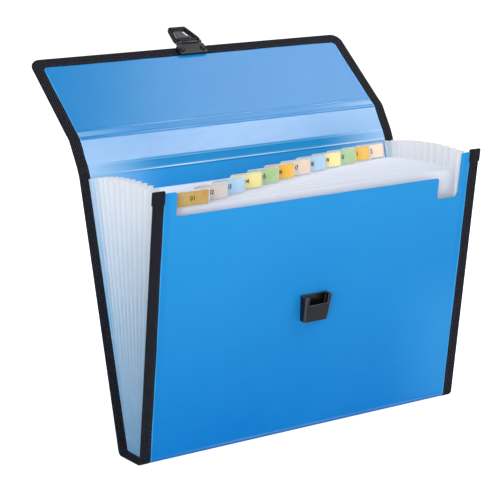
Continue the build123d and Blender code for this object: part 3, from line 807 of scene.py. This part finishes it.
# %% [markdown]
# ### Folded tape ends
# At the front's top corners the tape's end is turned over and sewn down double. The fold is a small pad round
# the corner: a rounded rectangle in plan, drawn in at its top and at its lower hem.

# %% Folded ends on the front panel
FOLD_H = 11 * MM
FOLD_PROUD = 1.8 * MM
FOLD_EXTRA = 1.5 * MM
FOLD_OUT = 0.7 * MM
FOLD_FACE = 1.6 * MM
FOLD_POWERS = (8, 4)
HEM_FACE = 0.5 * MM
HEM_RUN = 0.5 * MM
HEM_DRAW_IN = 0.35 * MM
FRAY = 0.5 * MM
FRAY_STEP = 9
FOLD_UV_START = 3 * MM


def tape_end(side_name, columns=40):
    """A superellipse section, |x/a| to the power 8 plus |y/b| to the power 4 = 1, whose half thickness b
    eases in over the last half millimetre at both ends. The cut top edge frays up and down."""
    spacing = np.concatenate([[0.0], smooth(np.linspace(0.02, 0.98, 22)), [1.0]])
    up = PANEL_H + FOLD_PROUD - FOLD_H * (1 - spacing)
    fray = FRAY * np.sin(FRAY_STEP * np.arange(columns)) * smooth((up[:, None] - up[-3]) / (up[-1] - up[-3]))
    from_end = np.clip(np.minimum(up - up[0], up[-1] - up) / HEM_RUN, 0, 1)
    ease = np.sqrt(np.clip(1 - (1 - from_end) ** 2, 0, 1))[:, None]
    angle = np.linspace(0, 2 * math.pi, columns, endpoint=False) + math.pi / columns
    unit_x, unit_y = superellipse(angle, *FOLD_POWERS)
    wide = (TAPE_W + FOLD_EXTRA) / 2
    across = EDGE_X - wide + FOLD_OUT + unit_x * (wide - HEM_DRAW_IN * (1 - ease))
    out = unit_y * (HEM_FACE + (FOLD_FACE - HEM_FACE) * ease)
    points = on_sheet("front_cover", SIDES[side_name] * across, out, up[:, None] + fray)
    girth = running_sum(np.hypot(np.diff(unit_x * wide), np.diff(unit_y * FOLD_FACE)))
    uv = np.stack(np.broadcast_arrays(up[:, None] + FOLD_UV_START, girth), axis=-1)
    points, uv = (np.roll(values, columns // 4, axis=1) for values in (points, uv))
    piece = tape_piece("front_tape_end_" + side_name, points, uv, "front_binding_" + side_name)
    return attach(piece, "front_cover")


tape_ends = [tape_end(side_name) for side_name in SIDES]
print("folded ends:", [piece.name for piece in tape_ends])

# %% [markdown]
# ### Stitches
# A lockstitch shows as a row of short raised dashes on both faces. Each is a slim spindle of thread, and a
# whole row is made at once: one spindle's grid, placed at every centre by adding arrays.

# %% Stitches
STITCH_PITCH = 4.2 * MM
STITCH_L = 3.0 * MM
STITCH_R = 0.2 * MM
STITCH_TAPER = 0.6
STITCH_SINK = 0.1 * MM
STITCH_LOW = 2.6 * MM
# How far below a sheet's top its side rows stop
STITCH_STOP = {"flap": 12 * MM, "front_cover": 12 * MM}
BAND_STOP = 2.2 * MM
CORNER_CLEAR = 6 * MM
LATCH_CLEAR = 16 * MM
LATCH_X = float(np.mean([corner[0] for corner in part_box("latch_base")]))


def spindles(centres, along, rings=7, around=6):
    """Spindles at many centres: x = -cos(a) L/2 along the thread, with radius R sin(a) to the power 0.6.

    The round section is spanned by two directions square to the thread's own."""
    a = np.linspace(0, math.pi, rings)
    b = np.linspace(0, 2 * math.pi, around, endpoint=False)
    reach = -np.cos(a) * STITCH_L / 2
    radius = STITCH_R * np.abs(np.sin(a)) ** STITCH_TAPER
    helper = np.where(np.abs(along[:, :1]) > 0.5, np.array([[0.0, 0.0, 1.0]]), X_AXIS[None])
    first = np.cross(along, helper)
    first /= np.linalg.norm(first, axis=-1, keepdims=True)
    second = np.cross(along, first)
    ring = np.cos(b)[:, None] * first[:, None, None] + np.sin(b)[:, None] * second[:, None, None]
    points = (centres[:, None, None] + reach[:, None, None] * along[:, None, None]
              + radius[:, None, None] * ring)
    faces = grid_faces(rings, around, wrap=True)
    return points, faces + (np.arange(len(centres)) * rings * around)[:, None, None]


def stitch_row(body, across, up, direction):
    """Stitch centres on both faces of a sheet, at (across, up) in the sheet, and their directions."""
    out = TAPE_FACE - STITCH_SINK
    centres = np.concatenate([on_sheet(body, across, face * out, up) for face in (-1, 1)])
    return centres, np.broadcast_to(direction, centres.shape)


def body_stitches(body):
    """Both side rows of a sheet, and for the flap the row across its top."""
    span = height_of[body] - STITCH_STOP.get(body, BAND_STOP) - STITCH_LOW
    count = max(1, int(span / STITCH_PITCH))
    up = STITCH_LOW + STITCH_PITCH * np.arange(count) + (span - STITCH_PITCH * (count - 1)) / 2
    x = EDGE_X - STITCH_INSET
    upward = np.array([0.0, math.sin(lean[body]), math.cos(lean[body])])
    rows = [stitch_row(body, np.full(count, side * x), up, upward) for side in SIDES.values()]
    if body == "flap":
        across = np.arange(-(x - CORNER_CLEAR), x - CORNER_CLEAR, STITCH_PITCH)
        across = across[np.abs(across - LATCH_X) > LATCH_CLEAR]
        rows.append(stitch_row(body, across, np.full(len(across), FLAP_H - STITCH_INSET), X_AXIS))
    centres, along = (np.concatenate(parts) for parts in zip(*rows))
    piece = mesh_piece(body + "_stitches", *spindles(centres, along), thread_black)
    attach(piece, body)
    return piece


stitches = [body_stitches(body) for body in foot_of]
print("stitch pieces:", len(stitches), "faces:", sum(len(piece.data.polygons) for piece in stitches))

# %% [markdown]
# ## The pleated sides
# Each side is one frosted sheet, pleated so that it folds in to the edge of every divider and out again
# between them. A pleat that opens and shuts can't be one stiff piece, so each leg between two folds is a
# sheet of its own. The legs swing in and out by a cosine, which rounds the folds and lets neighbours meet
# in line.

# %% Frosted materials
GUSSET_WHITE = rgb(208, 210, 214)
GUSSET_SHADE = rgb(198, 203, 211)
# GUSSET_BLUE: painted shade low on the pleats, and the blue panels showing through
GUSSET_BLUE = rgb(98, 152, 190)
DIVIDER_WHITE = rgb(218, 222, 233)
DIVIDER_SHADE = rgb(205, 214, 230)
SCUFF_WHITE = rgb(240, 242, 246)
EVEN_SCATTER = (1.0, 1.0, 1.0)


def frosted_finish(name, white, shade, smoothest, roughest, through, tinted=False):
    """Light wanders in a frosted sheet and leaves on either side, which subsurface scattering follows."""
    material, tree, shader = new_material(name, IOR=PLASTIC_IOR, Specular_IOR_Level=0.3,
                                          Transmission_Weight=through, Subsurface_Weight=0.85,
                                          Subsurface_Scale=0.003, Subsurface_Radius=EVEN_SCATTER)
    place = object_place(tree)
    colour = place_group(tree, soft_clouds, Vector=place, Scale=26.0, Amount=0.3, Colour=white,
                         Cloud_Colour=shade)["Colour"]
    # A stored mark paints the sheet bluer: painted shade low down, a little more on the left, and the blue
    # panels showing through
    if tinted:
        colour = mix_colours(tree, stored_mark(tree, "tint_and_shade"), colour, GUSSET_BLUE)
    marks = place_group(tree, scuffs, Vector=place, Scale=22.0, Amount=0.12)["Mask"]
    grain = place_group(tree, fine_grain, Vector=place, Scale=1700.0, Smoothest=smoothest, Roughest=roughest)
    paint(tree, shader, mix_colours(tree, marks, colour, SCUFF_WHITE), grain["Roughness"])
    bump(tree, shader, grain["Height"], strength=0.1)
    return material


def let_light_through(piece):
    """Frosted sheet dims the lamps so little that it hardly casts a shadow of its own."""
    piece.visible_shadow = False
    return piece


gusset_frost = frosted_finish("gusset_frost", GUSSET_WHITE, GUSSET_SHADE, 0.36, 0.48, 0.1, tinted=True)
divider_frost = frosted_finish("divider_frost", DIVIDER_WHITE, DIVIDER_SHADE, 0.42, 0.54, 0.05)
dividers = [f"divider_{number:02d}" for number in range(1, POCKETS)]
finish(divider_frost, *dividers)
for name in dividers:
    let_light_through(nodes[name])
print("frosted dividers:", len(dividers))

# %% Fold lines of the pleats
GUSSET_OUTER_X = 159.5 * MM
GUSSET_INNER_X = 148.5 * MM
BACK_DRAW_IN = 2.2 * MM
BACK_FROM = 0.75
GUSSET_LOW = LIP_RISE + HALF_T + 0.3 * MM
GUSSET_CLEAR = 2.15 * MM
GUSSET_HALF = 0.18 * MM
GUSSET_TOP_DROP = 1.5 * MM
OUTER_DIP = {"left": 0.4 * MM, "right": 1.8 * MM}


def near_back(share):
    """Rises from 0 to 1 over the last quarter of the way from the front panel to the back one."""
    return smooth((share - BACK_FROM) / (1 - BACK_FROM))


def fold_ends(share, offset):
    """Foot and head of folds at shares of the way from the front panel to the back one, as (y, z) arrays.

    The slope runs evenly from one panel's to the other's. A foot lies on the bottom, and a head on the arc
    round the point where the panels' planes would meet: it is where the fold's line reaches that radius."""
    front, back = math.tan(lean["front_cover"]), math.tan(lean["back_cover"])
    slope = front + (back - front) * share
    foot = np.stack([BASE_DEPTH * (share - 0.5) + (GUSSET_LOW - LIP_RISE) * slope + offset,
                     np.full(len(share), GUSSET_LOW)], axis=-1)
    drop = BASE_DEPTH / (back - front)
    centre = np.array([-BASE_DEPTH / 2 - drop * front, LIP_RISE - drop])
    corner = on_sheet("front_cover", 0.0, 0.0, PANEL_H)[1:]
    radius = np.linalg.norm(corner - centre) - GUSSET_TOP_DROP
    direction = np.stack([slope, np.ones(len(share))], axis=-1)
    direction /= np.linalg.norm(direction, axis=-1, keepdims=True)
    reached = np.sum((foot - centre) * direction, axis=-1)
    beside = np.sum((foot - centre) ** 2, axis=-1) - reached ** 2
    return foot, foot + direction * (np.sqrt(radius ** 2 - beside) - reached)[:, None]


# Outer fold, then for each divider an inner fold at its edge and an outer fold behind it
fold_share = np.concatenate([[0.0], np.arange(2, 2 * POCKETS - 1) / (2 * POCKETS), [1.0]])
fold_inner = np.concatenate([[False], np.arange(2 * POCKETS - 3) % 2 == 0, [False]])
# The last outer folds draw in, so that the sheet ends beside the back panel's tape
fold_x = np.where(fold_inner, GUSSET_INNER_X, GUSSET_OUTER_X - BACK_DRAW_IN * near_back(fold_share))
fold_offset = np.zeros(len(fold_share))
fold_offset[0], fold_offset[-1] = GUSSET_CLEAR, -GUSSET_CLEAR
fold_foot, fold_head = fold_ends(fold_share, fold_offset)
print("folds on a side:", len(fold_share), "of which at dividers:", int(fold_inner.sum()))

# %% Legs of the pleats
OVERLAP = 0.02
ROUNDNESS = 0.85
LEG_BOW = 0.5 * MM
SIDE_TINT = {"left": 0.1, "right": 0.0}
BACK_TINT = 0.6
# Painted shade: how much bluer a leg is painted towards its bottom
LOW_SHADE, LOW_SHADE_POWER = 0.85, 0.9
SOFT_EDGE = 50.0


def gusset_piece(name, middle, tint_and_shade, side_name):
    """A thin frosted sheet round a grid of points that stands for a CAD gusset, painted bluer by a stored
    mark that is partly painted shade.
    """
    points, faces = thin_shell(middle, GUSSET_HALF)
    marks = {"tint_and_shade": np.broadcast_to(tint_and_shade, points.shape[:2])}
    piece = let_light_through(mesh_piece(name, points, faces, gusset_frost, marks=marks, sharp=SOFT_EDGE))
    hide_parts("gusset_" + side_name)
    return piece


def pleat_leg(side_name, number, rows=19, columns=13):
    """A leg between two folds: y and z run straight from fold to fold, x follows (1 - cos(pi t)) / 2, the top
    edge dips towards the outer fold, and the leg bows a little along its height.

    It is painted bluer near the bottom, a painted shade, and next to the back panel, which shows through it."""
    x_ends = SIDES[side_name] * fold_x[number:number + 2]
    t = np.linspace(-OVERLAP, 1 + OVERLAP, columns)[None, :, None]
    s = np.linspace(0.0, 1.0, rows)[:, None, None]
    rounded = ROUNDNESS * (1 - np.cos(math.pi * t)) / 2 + (1 - ROUNDNESS) * t
    low = fold_foot[number] + (fold_foot[number + 1] - fold_foot[number]) * t
    high = fold_head[number] + (fold_head[number + 1] - fold_head[number]) * t
    outward = 1 - t if fold_inner[number + 1] else t
    dip = np.array([0.0, OUTER_DIP[side_name]]) * smooth(outward)
    flat = low + (high - dip - low) * s
    bow = LEG_BOW * np.sin(2 * math.pi * s + number) * np.sin(math.pi * t) * s
    x = x_ends[0] + (x_ends[1] - x_ends[0]) * rounded + bow
    middle = np.concatenate([np.broadcast_to(x, (*flat.shape[:2], 1)), flat], axis=-1)
    # Painted shade: bluer towards the bottom of the leg
    below = LOW_SHADE * (1 - s[:, :, 0]) ** LOW_SHADE_POWER
    tint_and_shade = np.clip(SIDE_TINT[side_name] + below + BACK_TINT * near_back(fold_share[number]), 0, 1)
    piece = gusset_piece(f"gusset_{side_name}_leg_{number + 1:02d}", middle, tint_and_shade, side_name)
    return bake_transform(piece)


pleats = [pleat_leg(side_name, number) for side_name in SIDES for number in range(len(fold_share) - 1)]
print("pleat legs:", len(pleats), "faces:", sum(len(piece.data.polygons) for piece in pleats))

# %% Flanges that join the pleats to the panels
FLANGE_X = 154.2 * MM
FLANGE_TUCK = 2 * MM
FLANGE_TINT = {"front_cover": 0.15, "back_cover": 0.5}


def gusset_flange(side_name, body, fold, rows=19, turn_points=9):
    """The sheet comes out from under the tape, turns round a half circle and runs out to an end fold.

    The circle's radius is a third of the fold's height over the sheet that lies on the panel."""
    facing = 1 if body == "front_cover" else -1
    sine, cosine = math.sin(lean[body]), math.cos(lean[body])
    ends = np.stack([fold_foot[fold], fold_head[fold]]) - crease[foot_of[body]]
    over = float(np.mean(ends @ np.array([cosine, -sine]))) * facing
    up = np.linspace(*(ends @ np.array([sine, cosine])), rows)
    up[-1] -= OUTER_DIP[side_name]
    low = HALF_T + GUSSET_HALF
    turn = np.linspace(0, math.pi, turn_points)
    radius = (over - low) / 3
    x = np.concatenate([[FLANGE_X + FLANGE_TUCK], FLANGE_X - radius * np.sin(turn), [fold_x[fold]]])
    out = np.concatenate([[low], low + radius * (1 - np.cos(turn)), [over]])
    middle = on_sheet(body, SIDES[side_name] * x[None, :], facing * out[None, :], up[:, None])
    piece = gusset_piece(f"gusset_{side_name}_flange_{body}", middle, FLANGE_TINT[body], side_name)
    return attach(piece, body)


flanges = [gusset_flange(side_name, body, fold) for side_name in SIDES
           for body, fold in (("front_cover", 0), ("back_cover", -1))]
print("flanges:", [piece.name for piece in flanges])

# %% [markdown]
# ## Labels
# Each divider has a tab with a coloured paper label under a welded clear rim. The paper gets fibres and a
# thin gloss from the film over it. The rim is a small half-round bead carried round the label, and the
# numbers are text turned into a mesh.

# %% Paper and ink materials
PAPERS = [rgb(178, 138, 28), rgb(204, 190, 186), rgb(164, 203, 230), rgb(236, 224, 140),
          rgb(166, 200, 140), rgb(240, 184, 40), rgb(234, 210, 190), rgb(172, 208, 232),
          rgb(246, 236, 162), rgb(172, 206, 150), rgb(240, 186, 46), rgb(250, 226, 198)]
PAPER_CLOUD = rgb(255, 252, 244)
FIBRE_BROWN = rgb(120, 108, 84)
INK_BLACK = rgb(10, 10, 12)
INK_GREY = rgb(34, 33, 32)
PAPER_IOR = 1.45


def paper_finish(number):
    """Coloured paper: clouds in its colour, and darker fibres drawn out one way."""
    material, tree, shader = new_material(f"paper_{number:02d}", IOR=PAPER_IOR, Coat_Weight=0.15,
                                          Coat_Roughness=0.3)
    place = object_place(tree)
    fibres = noise(tree, place, 500.0, 4.0, stretch=(1.0, 1.0, 4.0))
    clouds = place_group(tree, soft_clouds, Vector=place, Scale=90.0, Amount=0.12, Colour=PAPERS[number - 1],
                         Cloud_Colour=PAPER_CLOUD)["Colour"]
    paint(tree, shader, mix_colours(tree, remap(tree, fibres, *MOST, 0.0, 0.1), clouds, FIBRE_BROWN),
          remap(tree, fibres, *MOST, 0.6, 0.8))
    bump(tree, shader, fibres, strength=0.1)
    return material


def ink_finish():
    """Printed black with a slightly uneven cover."""
    material, tree, shader = new_material("label_ink", IOR=PAPER_IOR)
    spread = noise(tree, object_place(tree), 2500.0)
    paint(tree, shader, mix_colours(tree, spread, INK_BLACK, INK_GREY), remap(tree, spread, *MOST, 0.5, 0.7))
    return material


label_ink = ink_finish()
for number in range(1, POCKETS):
    finish(paper_finish(number), f"label_{number:02d}")

# %% Rims and numbers on the tabs
RIM_R = 0.42 * MM
RIM_GAP = 0.7 * MM
RIM_SINK = 0.1 * MM
RIM_FLATNESS = 0.5
RIM_POWER = 10
LABEL_H = 12.0 * MM
LABEL_T = 0.2 * MM
INK_LIFT = 0.015 * MM
INK_HALF = 0.012 * MM
INK_SPREAD = 0.11 * MM
NUMBER_SIZE = 5.2 * MM


def label_place(number):
    """A label's middle, its half width, its divider's up direction and the direction out of its front."""
    turn = lean["front_cover"] + (lean["back_cover"] - lean["front_cover"]) * number / POCKETS
    low, high = (np.array(corner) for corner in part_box(f"label_{number:02d}"))
    up = np.array([0.0, math.sin(turn), math.cos(turn)])
    front = np.array([0.0, -math.cos(turn), math.sin(turn)])
    return (low + high) / 2, (high[0] - low[0]) / 2, up, front


def label_rim(number, stations=64, around=8):
    """A low bead round the label: the path is a superellipse, the section an ellipse half as high as wide."""
    middle, half_w, up, front = label_place(number)
    angle = np.linspace(0, 2 * math.pi, stations, endpoint=False)
    unit_x, unit_up = superellipse(angle, RIM_POWER, RIM_POWER)
    path = np.stack([unit_x * (half_w + RIM_GAP), unit_up * (LABEL_H / 2 + RIM_GAP)], axis=-1)
    tangent = np.roll(path, -1, axis=0) - np.roll(path, 1, axis=0)
    tangent /= np.linalg.norm(tangent, axis=-1, keepdims=True)
    outward = np.stack([tangent[:, 1], -tangent[:, 0]], axis=-1)
    b = np.linspace(0, 2 * math.pi, around, endpoint=False)
    flat = path[:, None] + outward[:, None] * np.cos(b)[:, None] * RIM_R
    lift = np.sin(b) * RIM_FLATNESS * RIM_R - RIM_SINK
    points = middle + flat[..., :1] * X_AXIS + flat[..., 1:] * up + lift[:, None] * front
    ring = np.concatenate([points, points[:1]])
    faces = grid_faces(*ring.shape[:2], wrap=True)
    piece = mesh_piece(f"label_rim_{number:02d}", ring, faces, divider_frost)
    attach(piece, f"divider_{number:02d}")
    return piece


def label_number(number):
    """The number as text, made a mesh, then laid on the label's face."""
    curve = bpy.data.curves.new(f"number_{number:02d}", "FONT")
    curve.body = f"{number:02d}"
    curve.size = NUMBER_SIZE
    curve.align_x = "CENTER"
    curve.align_y = "CENTER"
    curve.extrude = INK_HALF
    curve.offset = INK_SPREAD
    curve.resolution_u = 3
    holder = add_object("text_holder", curve)
    bpy.context.view_layer.update()
    mesh = bpy.data.meshes.new_from_object(holder)
    bpy.data.objects.remove(holder)
    bpy.data.curves.remove(curve)
    flat = np.empty(len(mesh.vertices) * 3)
    mesh.vertices.foreach_get("co", flat)
    flat = flat.reshape(-1, 3)
    middle, _, up, front = label_place(number)
    face = middle + front * (LABEL_T / 2 + INK_LIFT)
    mesh.vertices.foreach_set("co", (face + flat @ np.stack([X_AXIS, up, front])).ravel())
    mesh.materials.clear()
    mesh.materials.append(label_ink)
    mesh.update()
    piece = add_object(f"number_{number:02d}", mesh)
    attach(piece, f"divider_{number:02d}")
    return piece


rims = [label_rim(number) for number in range(1, POCKETS)]
numbers = [label_number(number) for number in range(1, POCKETS)]
print("rims and numbers:", len(rims), len(numbers))

# %% [markdown]
# ## The latch
# The latch is black moulded plastic with a satin skin. Handling polishes it, so scuffs lighten the colour a
# little and smooth the skin, on top of the moulding's fine grain. The tongue is painted a little paler, and
# its thin plate a paler grey, both a painted sheen, so a mask finds the plate by its distance from the
# tongue's middle and from the hinge. The hinge pin is drawn steel.

# %% Latch materials
PLATE_X = (6.8 * MM, 6.4 * MM)
PLATE_START = (7.6 * MM, 8.2 * MM)
PLATE_STOP = (21.9 * MM, 21.5 * MM)
TONGUE_TILT = math.radians(15)
TONGUE_LEAN = lean["flap"] + TONGUE_TILT
WORN_GREY = rgb(60, 60, 66)
WORN_SMOOTHER = 0.15
STEEL_DARK = rgb(150, 152, 156)
STEEL_LIGHT = rgb(205, 206, 210)


def plate_mask(tree, place):
    """1 on the tongue's plate: near the middle, past the start and before the stop along the tongue."""
    x, y, z = axes(tree, place)
    hinge_y, hinge_z = crease["latch_hinge"]
    back = sums(tree, "MULTIPLY", sums(tree, "SUBTRACT", y, hinge_y), math.sin(TONGUE_LEAN))
    rise = sums(tree, "MULTIPLY", sums(tree, "SUBTRACT", z, hinge_z), math.cos(TONGUE_LEAN))
    along = sums(tree, "ADD", back, rise)
    mask = remap(tree, sums(tree, "ABSOLUTE", sums(tree, "SUBTRACT", x, LATCH_X)), *PLATE_X)
    for limits in (PLATE_START, PLATE_STOP):
        mask = sums(tree, "MULTIPLY", mask, remap(tree, along, *limits))
    return mask


def latch_finish(name, dark, light, shine=0.35, plate=None):
    """Satin black with clouds and scuffs; plate is the painted sheen of the tongue's plate, where it has one.
    """
    material, tree, shader = new_material(name, Specular_IOR_Level=shine)
    place = object_place(tree)
    worn = place_group(tree, scuffs, Vector=place, Scale=130.0, Amount=0.5)["Mask"]
    colour = place_group(tree, soft_clouds, Vector=place, Scale=120.0, Amount=0.4, Colour=dark,
                         Cloud_Colour=light)["Colour"]
    if plate is not None:
        colour = mix_colours(tree, plate_mask(tree, place), colour, plate)
    grain = place_group(tree, fine_grain, Vector=place, Scale=2200.0, Smoothest=0.28, Roughest=0.4)
    paint(tree, shader, mix_colours(tree, worn, colour, WORN_GREY),
          sums(tree, "SUBTRACT", grain["Roughness"], sums(tree, "MULTIPLY", worn, WORN_SMOOTHER)))
    bump(tree, shader, grain["Height"], strength=0.2)
    return material


def steel_finish():
    """Drawn steel: noise stretched into lines along the pin."""
    material, tree, shader = new_material("pin_steel", Metallic=1.0)
    drawn = noise(tree, object_place(tree), 900.0, 3.0, stretch=(0.05, 1.0, 1.0))
    colour = mix_colours(tree, drawn, STEEL_DARK, STEEL_LIGHT)
    paint(tree, shader, colour, remap(tree, drawn, *MOST, 0.2, 0.4))
    return material


latch_black = latch_finish("latch_black", rgb(10, 10, 13), rgb(18, 18, 22))
# The tongue is painted paler than the rest and its plate grey: a painted sheen
tongue_painted_sheen = latch_finish("tongue_painted_sheen", rgb(20, 20, 23), rgb(30, 30, 34), plate=rgb(92, 92, 95))
# A pale grey for the rounded edges: a painted highlight
painted_edge_highlight = latch_finish("painted_edge_highlight", rgb(96, 97, 108), rgb(130, 131, 142), shine=0.6)
finish(latch_black, "latch_receiver", "receiver_rivets", "latch_base", "latch_backing_plate", "latch_rivets")
finish(tongue_painted_sheen, "latch_tongue")
finish(steel_finish(), "latch_hinge_pin")
print("latch dressed")

# %% [markdown]
# ### Rounded edges
# A moulding's edges are never sharp, and their small rounds catch the light. A CAD mesh is cut into loose
# triangles, so a copy of it first gets its flat faces back. Then a Bevel modifier rounds what is still sharp,
# and the rounds get a pale grey, a painted highlight.

# %% Rounded edges on the mouldings
MOULD_EDGE = 0.5 * MM
MOULD_DOUBLES = 1e-6
SHARP_ENOUGH = math.radians(40)
FLAT_ENOUGH = math.radians(0.5)


def rounded_moulding(node, body):
    """A copy of a CAD piece with whole faces and bevelled edges in a pale grey, a painted highlight, which
    stands for it.
    """
    mesh = nodes[node].data.copy()
    work = bmesh.new()
    work.from_mesh(mesh)
    bmesh.ops.remove_doubles(work, verts=work.verts, dist=MOULD_DOUBLES)
    bmesh.ops.dissolve_limit(work, angle_limit=FLAT_ENOUGH, verts=work.verts, edges=work.edges)
    work.to_mesh(mesh)
    work.free()
    mesh.materials.append(painted_edge_highlight)
    piece = add_object(node + "_rounded", mesh)
    edges = piece.modifiers.new("rounded_edges", "BEVEL")
    edges.width = MOULD_EDGE
    edges.segments = 2
    edges.limit_method = "ANGLE"
    edges.angle_limit = SHARP_ENOUGH
    edges.use_clamp_overlap = True
    edges.material = 1
    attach(piece, body)
    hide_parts(node)
    return piece


for node, body in (("latch_receiver", "front_cover"), ("latch_base", "flap"), ("latch_tongue", "tongue")):
    rounded = rounded_moulding(node, body)
    print(rounded.name, len(rounded.data.polygons), "faces before the bevel")

# %% [markdown]
# ## Studio
# The folder stands on a plain pale floor in soft light. A white room fills from all sides. One softbox stands
# high to the right where the spine strip mirrors it, which turns that strip pale, one lights the folder from
# the right above, and one from the front left. The floor melts into the white behind it.

# %% Floor, world and light
FLOOR_REACH = 4.0
FLOOR_POINTS = 9
FLOOR_Z = -0.2 * MM
FLOOR_GLOW = (0.75, 0.75, 0.75, 1.0)
NO_GLOW = (0.0, 0.0, 0.0, 1.0)
ROOM_SEEN = 1.05
ROOM_LIGHT = 0.52
ROOM_MIRRORED = 0.15
AIM_AT = np.array([0.0, 0.0, 0.16])


def studio_floor():
    """A flat grid just under the folder. Only the camera sees its glow, so it doesn't light the folder."""
    material, tree, shader = new_material("studio_white", Roughness=0.9, Specular_IOR_Level=0.1,
                                          Emission_Strength=1.0)
    speck = noise(tree, object_place(tree), 40.0)
    paint(tree, shader, mix_colours(tree, speck, rgb(228, 228, 230), rgb(234, 234, 235)))
    seen = add_node(tree, "LightPath", {})["Is Camera Ray"]
    tree.links.new(mix_colours(tree, seen, NO_GLOW, FLOOR_GLOW), shader.inputs["Emission Color"])
    marks = np.linspace(-FLOOR_REACH, FLOOR_REACH, FLOOR_POINTS)
    x, y = np.meshgrid(marks, marks, indexing="ij")
    points = np.stack([x, y, np.full(x.shape, FLOOR_Z)], axis=-1)
    mesh_piece("studio_floor", points, grid_faces(*x.shape), material)


def studio_world():
    """White for the camera, a gentle fill for matt surfaces, and darker where glossy surfaces mirror it."""
    world = bpy.data.worlds.new("white_room")
    world.use_nodes = True
    tree = world.node_tree
    background = tree.nodes["Background"]
    background.inputs["Color"].default_value = (1.0, 1.0, 1.0, 1.0)
    path = add_node(tree, "LightPath", {})
    fill = remap(tree, path["Is Glossy Ray"], 0.0, 1.0, ROOM_LIGHT, ROOM_MIRRORED)
    strength = remap(tree, path["Is Camera Ray"], 0.0, 1.0, fill, ROOM_SEEN)
    tree.links.new(strength, background.inputs["Strength"])
    bpy.context.scene.world = world


def placed_axes(right, up, backward, place):
    """The matrix of a light or a camera: its three axes and its place as columns."""
    matrix = np.eye(4)
    matrix[:3] = np.stack([right, up, backward, place], axis=-1)
    return Matrix(matrix.tolist())


def softbox(name, direction, distance, size, watts):
    """An area light in a direction from the folder's middle, turned to face it."""
    light = bpy.data.lights.new(name, "AREA")
    light.shape = "RECTANGLE"
    light.size, light.size_y = size
    light.energy = watts
    away = np.array(direction) / np.linalg.norm(direction)
    side = np.cross([0.0, 0.0, 1.0], away)
    side /= np.linalg.norm(side)
    place = AIM_AT + away * distance
    add_object(name, light).matrix_world = placed_axes(side, np.cross(away, side), away, place)


studio_floor()
studio_world()
softbox("spine_softbox", (0.58, -0.44, 0.70), 1.94, (1.3, 0.3), 17.0)
softbox("top_softbox", (0.68, -0.03, 0.73), 2.0, (0.9, 1.3), 11.0)
softbox("front_softbox", (-0.70, -0.70, 0.15), 2.2, (1.2, 1.2), 35.0)
bpy.context.scene.view_settings.view_transform = "Standard"
print("studio set")

# %% [markdown]
# ## Camera
# The camera's place was worked out from the picture: a long lens, from the front left and a little above. Its
# three axes are the right, up and backward directions of the view, with a slight roll.

# %% Camera
FOCAL_PX = 1734.69
IMAGE_W = 500
YAW, PITCH, ROLL = (math.radians(value) for value in (32.736, 11.805, -1.588))
CAMERA_AT = np.array([-0.82031, -1.21453, 0.46881])

view = np.array([math.sin(YAW) * math.cos(PITCH), math.cos(YAW) * math.cos(PITCH), -math.sin(PITCH)])
level = np.array([math.cos(YAW), -math.sin(YAW), 0.0])
upright = np.cross(level, view)
right = math.cos(ROLL) * level + math.sin(ROLL) * upright
above = -math.sin(ROLL) * level + math.cos(ROLL) * upright

lens = bpy.data.cameras.new("camera")
lens.sensor_width = 36.0
lens.lens = FOCAL_PX * lens.sensor_width / IMAGE_W
lens.clip_start = 0.01
camera = add_object("camera", lens)
camera.matrix_world = placed_axes(right, above, -view, CAMERA_AT)
bpy.context.scene.camera = camera
print("lens", round(lens.lens, 1), "mm")
